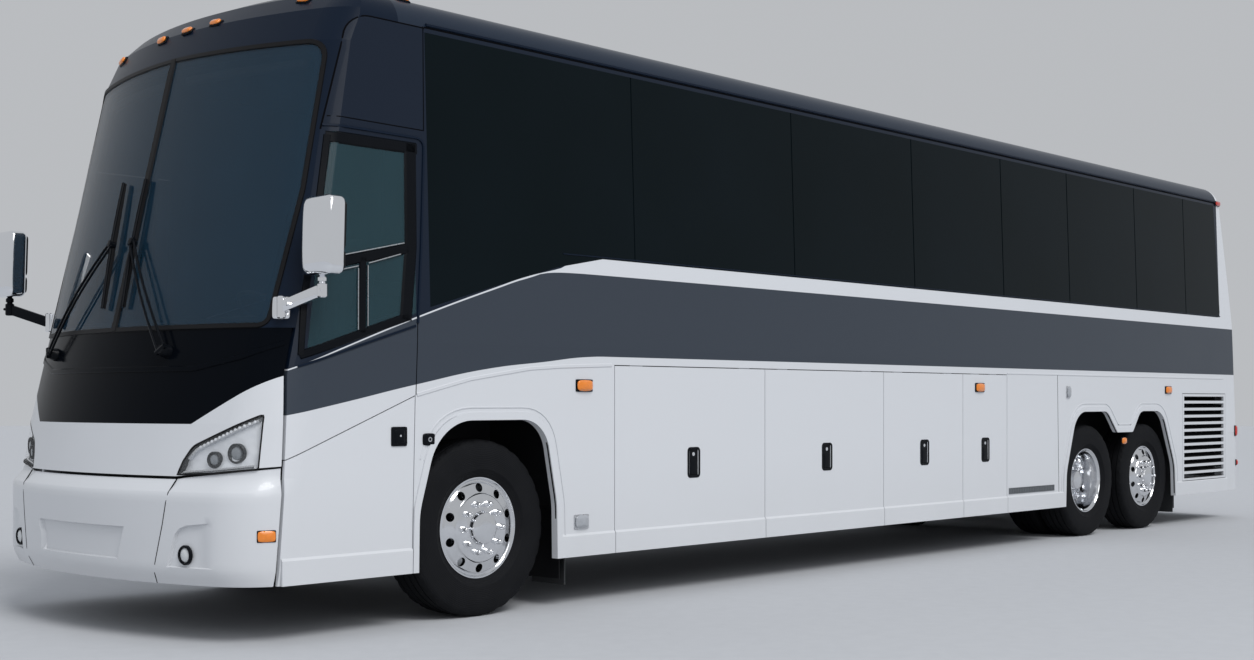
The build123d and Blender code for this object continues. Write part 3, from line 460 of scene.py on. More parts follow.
TREAD_RADIUS = 0.512
TREAD_CUTS = 58.0
FLANK_RINGS = 95.0


def tyre_rubber(tree):
    """Dusty black tyre: cross cuts in the tread and faint rings on the flanks"""
    place, across, axial, up = object_axes(tree)
    radius = turned_radius(tree, across, up)
    slant = times(tree, maths(tree, "ABSOLUTE", axial), 2.2)
    turn = plus(tree, maths(tree, "ARCTAN2", up, across), slant)
    saw = maths(tree, "FRACT", plus(tree, times(tree, turn, TREAD_CUTS / tau), 100.0))
    in_tread = step_over(tree, radius, TREAD_RADIUS, 0.003)
    uncut = maths(tree, "SUBTRACT", 1.0, step_over(tree, saw, 0.16, 0.05))
    tread = times(tree, uncut, in_tread)
    flank = times(tree, wave(tree, radius, FLANK_RINGS), maths(tree, "SUBTRACT", 1.0, in_tread))
    grain = noise(tree, place, 190.0, 4.0, 0.7)
    height = plus(tree, times(tree, tread, -9.0), times(tree, flank, 0.5))
    height = plus(tree, height, times(tree, grain, 0.35))
    worn = spread(tree, noise(tree, place, 7.0, 5.0), 0.1, 0.85)
    return {
        "Base Color": mix_colour(tree, worn, (0.004, 0.0045, 0.006), (0.012, 0.0125, 0.014)),
        "Roughness": spread(tree, grain, 0.62, 0.85),
        "Normal": bump(tree, height, 0.001, 0.8),
        "IOR": 1.22,
    }


def woven_cloth(tree, colour, scale):
    """Woven upholstery"""
    place, across, along, up = object_axes(tree)
    warp = wave(tree, plus(tree, across, up), scale)
    weft = wave(tree, plus(tree, along, up), scale)
    fade = noise(tree, place, 6.0, 4.0)
    return {
        "Base Color": shades(tree, fade, colour, 0.7),
        "Roughness": spread(tree, fade, 0.8, 0.95),
        "Normal": bump(tree, times(tree, warp, weft), 0.0004, 0.6),
        "Sheen Weight": 0.3,
    }


LIVERY = finish("side_livery", livery)
WHITE_PAINT = finish("white_paint", plain_paint, WHITE)
LOUVRE_PAINT = finish("louvre_paint", louvred_paint)
NIGHT_PAINT = finish("night_paint", plain_paint, NIGHT, 0.06, 1.18, 0.12)
ROOF_PAINT = finish("roof_paint", plain_paint, ROOF_NIGHT, 0.06, 1.25, 0.2)
DASH_GLOSS = finish("dash_gloss", plain_surface, (0.002, 0.003, 0.005), 0.16, 90.0, ior=1.12)
SIDE_GLASS = finish("privacy_glass", dark_glass)
SCREEN_GLASS = finish("screen_glass", see_through_glass, (0.014, 0.042, 0.072), 0.60)
CAB_GLASS = finish("cab_glass", see_through_glass, (0.022, 0.062, 0.078), 0.64)
RUBBER = finish("rubber", plain_surface, (0.007, 0.007, 0.008), 0.48, 160.0, ior=1.25)
BLACK_TRIM = finish("black_trim", plain_surface, (0.004, 0.005, 0.007), 0.22, 90.0, ior=1.18)
BLACK_STEEL = finish("black_steel", plain_surface, (0.018, 0.019, 0.021), 0.55, 25.0, 0.0, 0.0006, 0.3)
DARK_VOID = finish("dark_recess", plain_surface, (0.003, 0.003, 0.004), 0.8, 30.0, ior=1.1)
ENGINE_METAL = finish("engine_casting", plain_surface, (0.13, 0.14, 0.15), 0.6, 60.0, 0.5, 0.001)
CAB_PLASTIC = finish("cab_plastic", plain_surface, (0.10, 0.11, 0.12), 0.6, 220.0, 0.0, 0.0003)
FABRIC = finish("seat_fabric", woven_cloth, (0.05, 0.055, 0.075), 180.0)
CHROME = finish("chrome", plain_surface, (0.88, 0.89, 0.91), 0.035, 6.0, 1.0, 0.0002, 0.04)
ALUMINIUM = finish("polished_aluminium", brushed_metal, (0.82, 0.83, 0.85), 0.085)
TYRE = finish("tyre_rubber", tyre_rubber)
AMBER = finish("amber_lens", moulded_lens, (1.0, 0.27, 0.010), 90.0)
RED_LENS = finish("red_lens", moulded_lens, (0.62, 0.022, 0.012), 90.0)
CLEAR_LENS = finish("clear_lens", moulded_lens, (0.75, 0.77, 0.78), 60.0)
LAMP_COVER = finish("lamp_cover", see_through_glass, (0.75, 0.78, 0.80), 0.05, 1.5)
REFLECTOR = finish("lamp_reflector", plain_surface, (0.78, 0.80, 0.83), 0.30, 30.0, 0.3, 0.0003)
MIRROR_FACE = finish("mirror_face", plain_surface, (0.92, 0.93, 0.94), 0.02, 3.0, 1.0, 0.00002, 0.02)
PALE_LENS = finish("pale_lens", moulded_lens, (0.42, 0.44, 0.47), 60.0)
VENT_METAL = finish("vent_metal", plain_surface, (0.13, 0.14, 0.15), 0.5, 50.0, ior=1.3)
BRIGHT_TRIM = finish("bright_trim", plain_surface, (0.62, 0.63, 0.65), 0.28, 50.0, 1.0)
DARK_LENS = finish("projector_lens", moulded_lens, (0.22, 0.24, 0.26), 40.0)
# Painted glint: brighter yellow for small pads laid over the amber marker lenses
PAINTED_GLINT = finish("lamp_bulb", moulded_lens, (1.0, 0.50, 0.08), 140.0)
WHITE_LENS = finish("white_bulb", moulded_lens, (0.92, 0.94, 0.97), 140.0)

# Finish of the CAD nodes

NODE_MATERIALS = {
    "radiator_door": LOUVRE_PAINT,
    "engine_door": LOUVRE_PAINT,
    "rear_bumper": WHITE_PAINT,
    "front_bumper": WHITE_PAINT,
    "nose_panel": WHITE_PAINT,
    "dash_panel": DASH_GLOSS,
    "front_cap": NIGHT_PAINT,
    "roof_panel": ROOF_PAINT,
    "entrance_glass": SIDE_GLASS,
    "cab_side_glass": CAB_GLASS,
    "steering_wheel": BLACK_TRIM,
}
SLOT_MATERIALS = {
    "white_paint": LIVERY,
    "navy_paint": NIGHT_PAINT,
    "tinted_glass": SIDE_GLASS,
    "clear_glass": SCREEN_GLASS,
    "lamp_lens": CLEAR_LENS,
    "frame_steel": BLACK_STEEL,
    "engine_metal": ENGINE_METAL,
    "cab_trim": CAB_PLASTIC,
    "seat_fabric": FABRIC,
    "chrome": CHROME,
    "polished_aluminium": ALUMINIUM,
    "tyre": TYRE,
}
NODE_SLOTS = {part["node"]: part["material_slot"] for part in frame["record"]["subparts"]}

for name, node in frame["nodes"].items():
    node.data.materials.clear()
    node.data.materials.append(NODE_MATERIALS.get(name) or SLOT_MATERIALS[NODE_SLOTS[name]])

# Mesh tools

UP = Vector((0, 0, 1))
SHARP_ANGLE = 32
# Material slots of the pieces, each with its finishes
PIECE_SLOTS = {
    "white_paint": (WHITE_PAINT,),
    "navy_paint": (NIGHT_PAINT,),
    "clear_glass": (LAMP_COVER,),
    "lamp_lens": (AMBER, RED_LENS, CLEAR_LENS, PALE_LENS, DARK_LENS, PAINTED_GLINT, WHITE_LENS, REFLECTOR),
    "frame_steel": (DARK_VOID, VENT_METAL),
    "engine_metal": (ENGINE_METAL,),
    "cab_trim": (RUBBER, BLACK_TRIM, CAB_PLASTIC, DASH_GLOSS),
    "seat_fabric": (FABRIC,),
    "chrome": (CHROME, BRIGHT_TRIM, MIRROR_FACE),
    "polished_aluminium": (ALUMINIUM,),
    "tyre": (TYRE,),
}
SLOT_OF_FINISH = {finish.name: slot for slot, finishes in PIECE_SLOTS.items() for finish in finishes}


def new_object(name, form):
    """Object with the mesh of a finished form"""
    mesh = bpy.data.meshes.new(name)
    form.to_mesh(mesh)
    form.free()
    made = bpy.data.objects.new(name, mesh)
    bpy.context.collection.objects.link(made)
    return made


def make_piece(name, form, material, body="body", replaces=(), centre=(0, 0, 0), sharp=SHARP_ANGLE):
    """Piece made of a finished form, riding on a body"""
    bmesh.ops.remove_doubles(form, verts=form.verts, dist=1e-6)
    bmesh.ops.recalc_face_normals(form, faces=form.faces)
    for face in form.faces:
        face.smooth = True
    for edge in form.edges:
        edge.smooth = len(edge.link_faces) == 2 and edge.calc_face_angle(0) < radians(sharp)
    piece = new_object(name, form)
    piece.data.materials.append(material)
    piece.location = centre
    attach(piece, body)
    if replaces:
        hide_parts(*replaces)
    return piece


def make_pieces(prefix, rows, body="body"):
    """Several pieces on one body; rows hold the name's end, the form and the material"""
    for name, form, material in rows:
        make_piece(prefix + name, form, material, body)


def merge(form, other, place):
    """Copy one form into another, with each point moved by a function where there is one"""
    made = {v: form.verts.new(place(v.co) if place else v.co) for v in other.verts}
    for face in other.faces:
        form.faces.new([made[v] for v in face.verts])
    other.free()


def ring_pairs(rings, joined):
    """Neighbouring rings, with the last one joined to the first where asked"""
    pairs = list(zip(rings, rings[1:]))
    return pairs + [(rings[-1], rings[0])] if joined else pairs


def add_rings(form, rings, joined=False):
    """Closed skin over a row of rings of points"""
    made = [[form.verts.new(p) for p in ring] for ring in rings]
    for first, second in ring_pairs(made, joined):
        for i in range(len(first)):
            j = (i + 1) % len(first)
            form.faces.new((first[i], first[j], second[j], second[i]))
    if not joined:
        form.faces.new(made[0])
        form.faces.new(made[-1])


def add_round(form, origin, axis, rows, steps, joined=False, dent=None):
    """Form turned round an axis; rows are of distance along the axis and radius"""
    turn = Vector(axis).to_track_quat("Z", "Y")
    base = Vector(origin)
    rings = []
    for index, (along, radius) in enumerate(rows):
        ring = []
        for step in range(steps if radius > 0 else 1):
            angle = tau * step / steps
            reach = max(radius, 0) - (dent(index, step) if dent else 0)
            spot = Vector((reach * cos(angle), reach * sin(angle), along))
            ring.append(form.verts.new(base + turn @ spot))
        rings.append(ring)
    for first, second in ring_pairs(rings, joined):
        for i in range(steps):
            j = (i + 1) % steps
            corners = (first[i % len(first)], first[j % len(first)])
            corners += (second[j % len(second)], second[i % len(second)])
            form.faces.new(tuple(dict.fromkeys(corners)))


def add_turned(form, origin, axis, rows, steps):
    """Round form whose rows begin and end on the axis"""
    add_round(form, origin, axis, ((rows[0][0], 0), *rows, (rows[-1][0], 0)), steps)


def sizes_for(radius, count):
    """One radius for each of a number of points"""
    return radius if isinstance(radius, (list, tuple)) else [radius] * count


def rounded(points, radius, steps=6, closed=False):
    """Path with its corners rounded; radius is one number or one for each point"""
    path = [Vector(p) for p in points]
    count = len(path)
    sizes = sizes_for(radius, count)
    made = []
    for index, corner in enumerate(path):
        if sizes[index] <= 0 or (not closed and index in (0, count - 1)):
            made.append(corner)
            continue
        back = path[index - 1] - corner
        onward = path[(index + 1) % count] - corner
        half = back.angle(onward) / 2
        reach = min(sizes[index] * cos(half) / sin(half), back.length * 0.49, onward.length * 0.49)
        start = corner + back.normalized() * reach
        end = corner + onward.normalized() * reach
        for step in range(steps + 1):
            share = step / steps
            made.append(start.lerp(corner, share).lerp(corner.lerp(end, share), share))
    return made


def rounded_box(half_wide, half_tall, radius, steps=5, middle=(0, 0)):
    """Outline of a rectangle with rounded corners"""
    signs = ((-1, -1), (1, -1), (1, 1), (-1, 1))
    corners = [(middle[0] + half_wide * a, middle[1] + half_tall * b) for a, b in signs]
    return rounded(corners, radius, steps, closed=True)


def refine(points, step, closed):
    """Path with its long runs divided"""
    path = [Vector(p) for p in points]
    ends = path[1:] + ([path[0]] if closed else [])
    made = []
    for start, end in zip(path, ends):
        count = max(1, int((end - start).length / step + 0.5))
        made += [start.lerp(end, i / count) for i in range(count)]
    if not closed:
        made.append(path[-1])
    return made


def add_tube(form, points, radius, sides):
    """Round bar along a path; radius is one number or one for each point"""
    path = [Vector(p) for p in points]
    sizes = sizes_for(radius, len(path))
    across = (path[1] - path[0]).orthogonal().normalized()
    rings = []
    for index, point in enumerate(path):
        heading = path[min(index + 1, len(path) - 1)] - path[max(index - 1, 0)]
        heading.normalize()
        across = (across - heading * across.dot(heading)).normalized()
        up = heading.cross(across)
        angles = [tau * side / sides for side in range(sides)]
        rings.append([point + (across * cos(a) + up * sin(a)) * sizes[index] for a in angles])
    add_rings(form, rings)


# Share of the width and of the height at the corners of a moulding
MOULDING = ((-0.5, 0.0), (-0.5, 0.6), (-0.36, 1.0), (0.36, 1.0), (0.5, 0.6), (0.5, 0.0))


def add_strip(form, path, width, place, low, high, closed=False, step=0.06):
    """Moulding along a flat path, bent onto a surface, between two lifts"""
    flat = refine(path, step, closed)
    count = len(flat)
    rings = []
    for index, point in enumerate(flat):
        before = flat[index - 1] if closed or index else point
        after = flat[(index + 1) % count] if closed or index < count - 1 else point
        heading = (after - before).normalized()
        ring = []
        for across, up in MOULDING:
            u = point.x - heading.y * across * width
            v = point.y + heading.x * across * width
            ring.append(place(u, v, low + (high - low) * up))
        rings.append(ring)
    add_rings(form, rings, joined=closed)


def make_strips(name, material, rows):
    """Mouldings in one piece; rows hold a path, a width, a surface and two lifts"""
    form = bmesh.new()
    for row in rows:
        add_strip(form, *row)
    make_piece(name, form, material)


def on_both_sides(rows):
    """Rows of path, width and two lifts, set out on the left and right surfaces"""
    return [(path, width, place, low, high) for _, _, place in SIDES for path, width, low, high in rows]


def flat_faces(points, step, lines):
    """Flat mesh inside an outline, divided by a grid and by extra lines"""
    spots = []
    edges = []
    for path, closed in [(points, True)] + [(line, False) for line in lines]:
        fine = refine([(p[0], p[1], 0) for p in path], step, closed)
        start = len(spots)
        spots += [p.xy for p in fine]
        count = len(fine)
        edges += [(start + i, start + (i + 1) % count) for i in range(count if closed else count - 1)]
        if path is points:
            outer = list(range(count))
    low = [min(p[i] for p in points) for i in (0, 1)]
    high = [max(p[i] for p in points) for i in (0, 1)]
    near = 0.4 * step
    fixed = KDTree(len(spots))
    for index, spot in enumerate(spots):
        fixed.insert((spot.x, spot.y, 0), index)
    fixed.balance()
    counts = [max(1, int((high[i] - low[i]) / step)) for i in (0, 1)]
    for i in range(1, counts[0]):
        for j in range(1, counts[1]):
            spot = [a + (b - a) * k / n for a, b, k, n in zip(low, high, (i, j), counts)]
            if fixed.find((*spot, 0))[2] > near:
                spots.append(Vector(spot))
    made = delaunay_2d_cdt(spots, edges, [outer], 1, 1e-7)
    flat = bmesh.new()
    corners = [flat.verts.new((p.x, p.y, 0)) for p in made[0]]
    for face in made[2]:
        flat.faces.new([corners[i] for i in face])
    for vert in [v for v in flat.verts if not v.link_faces]:
        flat.verts.remove(vert)
    return flat


def add_patch(form, points, place, low, high, step, shape=None, lines=()):
    """Slab over a flat outline, bent onto a surface; shape gives more lift at each place"""
    flat = flat_faces(points, step, lines)
    top = {}
    bottom = {}
    for vert in flat.verts:
        u, v, _ = vert.co
        top[vert] = form.verts.new(place(u, v, high + (shape(u, v) if shape else 0)))
        bottom[vert] = form.verts.new(place(u, v, low))
    for face in flat.faces:
        form.faces.new([top[v] for v in face.verts])
        form.faces.new([bottom[v] for v in reversed(face.verts)])
    for edge in flat.edges:
        if len(edge.link_faces) == 1:
            first, second = edge.verts
            form.faces.new((top[first], top[second], bottom[second], bottom[first]))
    flat.free()


def add_block(form, low, high, bevel, segments=2, place=None):
    """Box between two corners with rounded edges"""
    box = bmesh.new()
    bmesh.ops.create_cube(box, size=1)
    for vert in box.verts:
        vert.co = Vector([a + (b - a) * (c + 0.5) for a, b, c in zip(low, high, vert.co)])
    rounding = {"offset": bevel, "segments": segments, "profile": 0.5, "affect": "EDGES"}
    bmesh.ops.bevel(box, geom=box.edges[:], **rounding)
    merge(form, box, place)


def add_cushion(form, low, high, radius, cuts, crown=0.0, place=None):
    """Fully rounded box whose faces swell by a crown"""
    box = bmesh.new()
    bmesh.ops.create_cube(box, size=2)
    bmesh.ops.subdivide_edges(box, edges=box.edges[:], cuts=cuts, use_grid_fill=True)
    middle = (Vector(low) + Vector(high)) / 2
    half = (Vector(high) - Vector(low)) / 2
    for vert in box.verts:
        share = vert.co.copy()
        spot = Vector([s * h for s, h in zip(share, half)])
        core = Vector([max(radius - h, min(h - radius, p)) for p, h in zip(spot, half)])
        away = spot - core
        if away.length > 1e-9:
            spot = core + away.normalized() * radius
        swell = [1 - s * s for s in share]
        for axis in range(3):
            if abs(share[axis]) > 0.999:
                spot[axis] += share[axis] * crown * swell[axis - 1] * swell[axis - 2]
        vert.co = middle + spot
    merge(form, box, place)


def add_pad(form, carry, wide, tall, low, high, radius, crown=0.0, cuts=7):
    """Rounded pad on a surface by its half width, half height and two lifts"""
    add_cushion(form, (-wide, -tall, low), (wide, tall, high), radius, cuts, crown, carry)


def facing(origin, normal, up=UP):
    """Function that carries a point of a small part onto a surface; its Z is the lift"""
    outward = Vector(normal).normalized()
    across = Vector(up).cross(outward).normalized()
    upward = outward.cross(across)
    base = Vector(origin)

    def place(point):
        return base + across * point[0] + upward * point[1] + outward * point[2]

    return place


def normal_at(place, u, v):
    """Outward direction of a surface at a flat place"""
    return (place(u, v, 0.01) - place(u, v, 0.0)).normalized()


def onto(place, u, v):
    """Function that carries a small part to a flat place of a surface"""
    return facing(place(u, v, 0), normal_at(place, u, v))


def near(carry):
    """Surface for mouldings and patches round the place of a small part"""
    return lambda u, v, lift: carry((u, v, lift))


def ramp(value, run):
    """0 below 0 and 1 beyond a run, straight between them"""
    return min(1.0, max(0.0, value / run))


def add_knob(form, carry, spot, rows, steps):
    """Small round form on a surface"""
    add_round(form, carry(spot), carry((0, 0, 1)) - carry((0, 0, 0)), rows, steps)

# Wheels and tyres

HAND_HOLES = 10
HOLE_RADIUS = 0.0265
NUT_CIRCLE = 0.147
TYRE_STEPS = 120
NOTCH = 0.006
# Half of the tyre section: distance from its middle plane and radius
TYRE_HALF = (
    (0.104, 0.287), (0.112, 0.297), (0.122, 0.312), (0.137, 0.336), (0.145, 0.345), (0.1475, 0.372),
    (0.1490, 0.420), (0.1480, 0.455), (0.1440, 0.470), (0.1425, 0.488), (0.1350, 0.505),
    (0.1180, 0.5185), (0.0900, 0.5215), (0.0880, 0.5090), (0.0790, 0.5090), (0.0770, 0.5220),
    (0.0350, 0.5220), (0.0330, 0.5080), (0.0230, 0.5080), (0.0210, 0.5220),
)
SHOULDER_ROWS = (9, 10, 11)
# Rows of distance outward from the wheel's middle plane and radius; both wheels share the bead seats
BEAD_SEATS = (
    (0.1070, 0.280), (0.1130, 0.287), (0.1190, 0.291), (0.1190, 0.298), (0.1050, 0.298),
    (0.1050, 0.286), (-0.1050, 0.286), (-0.1050, 0.298), (-0.1140, 0.298),
)
SINGLE_WHEEL = (
    (0.1900, 0.040), (0.1860, 0.078), (0.1800, 0.090), (0.1720, 0.095), (0.1520, 0.100),
    (0.1480, 0.108), (0.1460, 0.118), (0.1460, 0.192), (0.1440, 0.199), (0.1390, 0.202),
    (0.1350, 0.206), (0.1320, 0.214), (0.1180, 0.262), (0.1080, 0.272), *BEAD_SEATS,
    (-0.1140, 0.262), (0.0880, 0.262), (0.1180, 0.186), (0.1180, 0.110), (-0.0200, 0.110),
    (-0.0200, 0.0603), (0.0903, 0.0603),
)
TWIN_WHEEL = (
    (0.0500, 0.042), (0.0470, 0.070), (0.0400, 0.084), (0.0250, 0.090), (-0.0400, 0.098),
    (-0.0700, 0.104), (-0.1380, 0.110), (-0.1500, 0.122), (-0.1530, 0.135), (-0.1530, 0.226),
    (-0.1480, 0.240), (-0.1300, 0.251), (-0.1000, 0.255), (0.0300, 0.258), (0.0500, 0.266),
    (0.1000, 0.272), *BEAD_SEATS, (-0.1140, 0.274),
    (-0.2190, 0.274), (-0.2190, 0.298), (-0.2280, 0.298), (-0.2280, 0.286),
    (-0.4380, 0.286), (-0.4380, 0.298), (-0.4470, 0.298), (-0.4470, 0.262), (-0.1950, 0.258),
    (-0.1770, 0.240), (-0.1770, 0.110), (-0.3930, 0.110), (-0.3930, 0.0603), (-0.0197, 0.0603),
)
# Rows of wheel name, station, section, hand hole circle, its plane, and plane of the nuts
WHEELS = (
    ("front", FRONT_X, SINGLE_WHEEL, 0.237, 0.10, 0.146),
    ("drive", DRIVE_X, TWIN_WHEEL, 0.200, -0.165, -0.153),
    ("tag", TAG_X, SINGLE_WHEEL, 0.237, 0.10, 0.146),
)
NUT_ROWS = (
    (0.0, 0.0), (0.0, 0.0205), (0.006, 0.0205), (0.009, 0.0165), (0.034, 0.0155), (0.041, 0.0125),
    (0.0445, 0.007), (0.0450, 0.0),
)


def tyre_form():
    """Tyre with a ribbed tread and notched shoulders"""
    rows = list(TYRE_HALF) + [(-y, r) for y, r in reversed(TYRE_HALF)]
    notched = SHOULDER_ROWS + tuple(len(rows) - 1 - row for row in SHOULDER_ROWS)

    def dent(row, step):
        return NOTCH if row in notched and step % 4 == 0 else 0

    form = bmesh.new()
    add_round(form, (0, 0, 0), (0, 1, 0), rows, TYRE_STEPS, joined=True, dent=dent)
    return form


def round_places(circle, turn):
    """X and Z of evenly spaced places on a circle, one for each hand hole"""
    angles = [tau * (i + turn) / HAND_HOLES for i in range(HAND_HOLES)]
    return [(circle * cos(angle), circle * sin(angle)) for angle in angles]


def wheel_form(rows, side, hole_circle, hole_y):
    """Polished wheel with hand holes cut through its disc"""
    disc = bmesh.new()
    add_turned(disc, (0, 0, 0), (0, side, 0), rows, 96)
    drills = bmesh.new()
    for x, z in round_places(hole_circle, 0.5):
        drill = ((-0.05, HOLE_RADIUS), (0.06, HOLE_RADIUS))
        add_turned(drills, (x, side * hole_y, z), (0, side, 0), drill, 24)
    for form in (disc, drills):
        bmesh.ops.recalc_face_normals(form, faces=form.faces)
    base = new_object("wheel_blank", disc)
    cutter = new_object("wheel_drills", drills)
    cut = base.modifiers.new("holes", "BOOLEAN")
    cut.operation = "DIFFERENCE"
    cut.solver = "EXACT"
    cut.object = cutter
    graph = bpy.context.evaluated_depsgraph_get()
    form = bmesh.new()
    form.from_mesh(bpy.data.meshes.new_from_object(base.evaluated_get(graph)))
    bpy.data.objects.remove(base)
    bpy.data.objects.remove(cutter)
    return form


def make_wheels():
    """Tyres, polished wheels and chrome nut covers on every hub"""
    for side_name, side, _ in SIDES:
        for axle, x, rows, hole_circle, hole_y, nut_y in WHEELS:
            centre = (x, side * WHEEL_Y, AXLE_Z)
            name = side_name + "_" + axle
            body = name + "_wheel"
            tyres = [(name, centre)]
            if axle == "drive":
                tyres.append((side_name + "_inner", (x, side * (WHEEL_Y - TWIN_SPACING), AXLE_Z)))
            for (node, place), piece in zip(tyres, (name + "_tyre", name + "_inner_tyre")):
                make_piece(piece + "_detail", tyre_form(), TYRE, body, [node + "_tyre"], place)
            form = wheel_form(rows, side, hole_circle, hole_y)
            make_piece(name + "_wheel_detail", form, ALUMINIUM, body, [name + "_rim"], centre, 24)
            nuts = bmesh.new()
            for nut_x, nut_z in round_places(NUT_CIRCLE, 0.0):
                add_round(nuts, (nut_x, side * nut_y, nut_z), (0, side, 0), NUT_ROWS, 18)
            make_piece(name + "_nut_covers", nuts, CHROME, body, (), centre, 40)


make_wheels()

# Front face

BOW_REACH = FRONT_BOW * asin(BOW_END_Y / FRONT_BOW)
CORNER_START = asin((BOW_END_Y - CORNER_Y) / FRONT_CORNER)


def plan_reach(y):
    """Distance round the front face from its middle to a given Y"""
    sense = 1 if y >= 0 else -1
    wide = abs(y)
    if wide <= BOW_END_Y:
        return sense * FRONT_BOW * asin(wide / FRONT_BOW)
    turn = asin(min(0.999, (wide - CORNER_Y) / FRONT_CORNER))
    return sense * (BOW_REACH + FRONT_CORNER * (turn - CORNER_START))


def plan_y(reach):
    """Y of the front face at a distance round it from its middle"""
    sense = 1 if reach >= 0 else -1
    far = abs(reach)
    if far <= BOW_REACH:
        return sense * FRONT_BOW * sin(far / FRONT_BOW)
    return sense * (CORNER_Y + FRONT_CORNER * sin(CORNER_START + (far - BOW_REACH) / FRONT_CORNER))


def on_wrap(reach, z, lift):
    """Point of the front face by distance round it and level"""
    return on_front(plan_y(reach), z, lift)


def wrapped(points, side=1):
    """Y and Z points of one side turned into distance round the face and level"""
    return [(plan_reach(side * y), z) for y, z in points]


def both_ways(points):
    """Points of a right half continued by their mirror image"""
    return [(-y, z) for y, z in reversed(points)] + list(points)


# Rows of level and station of the joint between the sides and the front face
FRONT_SEAM = (
    (0.000, front(1.498)), (1.407, front(1.389)), (1.804, front(1.299)), (2.125, front(1.259)),
    (2.733, front(1.138)),
)
SEAM_GAP = 0.016


def seam_y(z):
    """Half width of the front face where it meets the joint"""
    face_x = NOSE_X - read_rows(FRONT_PROFILE, z)
    into_corner = read_rows(FRONT_SEAM, z) + SEAM_GAP - face_x - CORNER_X
    return CORNER_Y + sqrt(FRONT_CORNER**2 - max(0.0, into_corner) ** 2)


BUMPER_LEVELS = (0.305, 0.380, 0.480, 0.580, 0.680, 0.780, 0.840, 0.865, 0.918)
BUMPER_TOP = ((1.180, 0.905), (0.770, 0.862))
# Seam of the bumper's corner piece, as Y and Z
BUMPER_SEAM = ((0.782, 0.864), (0.780, 0.788), (0.748, 0.626), (0.667, 0.306))
CHAMFER_Z = 0.795
RECESS_DEPTH = 0.020
RECESS_LIP = ((0.400, 0.424), (0.456, 0.598))
RAMP = 0.005
ARCH_LIP = (
    (0.773, 0.398), (0.790, 0.440), (0.810, 0.516), (0.831, 0.574), (0.862, 0.604), (0.906, 0.620),
    (1.070, 0.638), (1.070, 0.398),
)
ARCH_DEPTH = 0.018
FOG_Y = 0.892
FOG_Z = 0.464
CORNER_MARKER = (front(1.530), 0.568)


def bumper_dent(reach, z):
    """Lift of the bumper skin: top chamfer, plate recess and fog lamp arches"""
    y = abs(plan_y(reach))
    low, high = RECESS_LIP
    side = low[0] + (high[0] - low[0]) * (z - low[1]) / (high[1] - low[1])
    recess = RECESS_DEPTH * ramp(min(side - y, high[1] - z, z - low[1]), RAMP)
    foot_y, foot_z = ARCH_LIP[0]
    under = min(read_rows(ARCH_LIP[:7], y) - z, z - foot_z, y - foot_y)
    fade_start = FOG_Y + 0.080
    fade = ramp(y - fade_start, ARCH_LIP[6][0] - fade_start)
    pocket = ARCH_DEPTH * (1 - fade * fade * (3 - 2 * fade)) * ramp(under, RAMP)
    return -0.012 * ramp(z - CHAMFER_Z, 0.075) - recess - pocket


def bumper_lines():
    """Edges of the chamfer, the recess and the arches, which the skin's mesh follows"""
    low, high = RECESS_LIP
    lines = [wrapped([(-1.225, level), (1.225, level)]) for level in (CHAMFER_Z - 0.004, CHAMFER_Z)]
    for inset in (0.0, RAMP):
        start = (low[0] - inset, low[1] + inset)
        end = (high[0] - inset, high[1] - inset)
        lines.append(wrapped([(-start[0], start[1]), start, end, (-end[0], end[1])]))
        for side in (1, -1):
            arch = [(y + inset, z - inset) for y, z in ARCH_LIP[1:7]]
            foot = (ARCH_LIP[0][0] + inset * 1.4, ARCH_LIP[0][1] + inset)
            end_foot = (ARCH_LIP[7][0], ARCH_LIP[7][1] + inset)
            lines.append(wrapped([end_foot, foot] + arch, side))
    return lines


def make_bumper():
    """Painted bumper skin, its seams, fog lamps and corner markers"""
    line = both_ways([(seam_y(z), z) for z in BUMPER_LEVELS] + list(BUMPER_TOP))
    form = bmesh.new()
    add_patch(form, wrapped(line), on_wrap, -0.028, 0.0, 0.030, bumper_dent, bumper_lines())
    make_piece("bumper_skin", form, WHITE_PAINT, replaces=["front_bumper"])
    seams, rims, lenses, ambers = [bmesh.new() for _ in range(4)]
    for _, side, surface in SIDES:
        add_strip(seams, wrapped(BUMPER_SEAM, side), 0.005, on_wrap, -0.004, 0.0016)
        place = on_front(side * FOG_Y, FOG_Z, -ARCH_DEPTH - 0.001)
        axis = (1, side * 0.10, 0)
        rim = ((0.0, 0.052), (0.013, 0.052), (0.019, 0.047), (0.018, 0.042), (0.004, 0.036))
        add_turned(rims, place, axis, rim, 40)
        lens = ((0.004, 0.0), (0.004, 0.038), (0.010, 0.037), (0.017, 0.026), (0.020, 0.0))
        add_round(lenses, place, axis, lens, 32)
        carry = onto(surface, *CORNER_MARKER)
        add_pad(rims, carry, 0.050, 0.032, -0.008, 0.003, 0.005, cuts=5)
        add_pad(ambers, carry, 0.044, 0.026, -0.002, 0.008, 0.005, 0.003, cuts=5)
    rows = (
        ("corner_markers", ambers, AMBER),
        ("bumper_seams", seams, DARK_VOID),
        ("fog_lamp_rims", rims, BLACK_TRIM),
        ("fog_lamp_lenses", lenses, CLEAR_LENS),
    )
    make_pieces("", rows)


LAMP_LINE = (
    (0.775, 0.880), (0.802, 0.955), (0.850, 1.030), (1.207, 1.199), (1.218, 0.915), (1.000, 0.892),
)
LAMP_ROUNDS = (0.0, 0.0, 0.10, 0.012, 0.012, 0.0)
UPPER_GUIDE = ((0.822, 0.968), (0.872, 1.018), (1.192, 1.170))
LOWER_GUIDE = ((0.800, 0.897), (0.990, 0.912), (1.200, 0.934))
BEADS = 14
BEAD_ROW = (Vector((0.882, 1.023)), Vector((1.188, 1.167)))
BEAD_ROWS = ((0, 0.009), (0.004, 0.007), (0.006, 0))
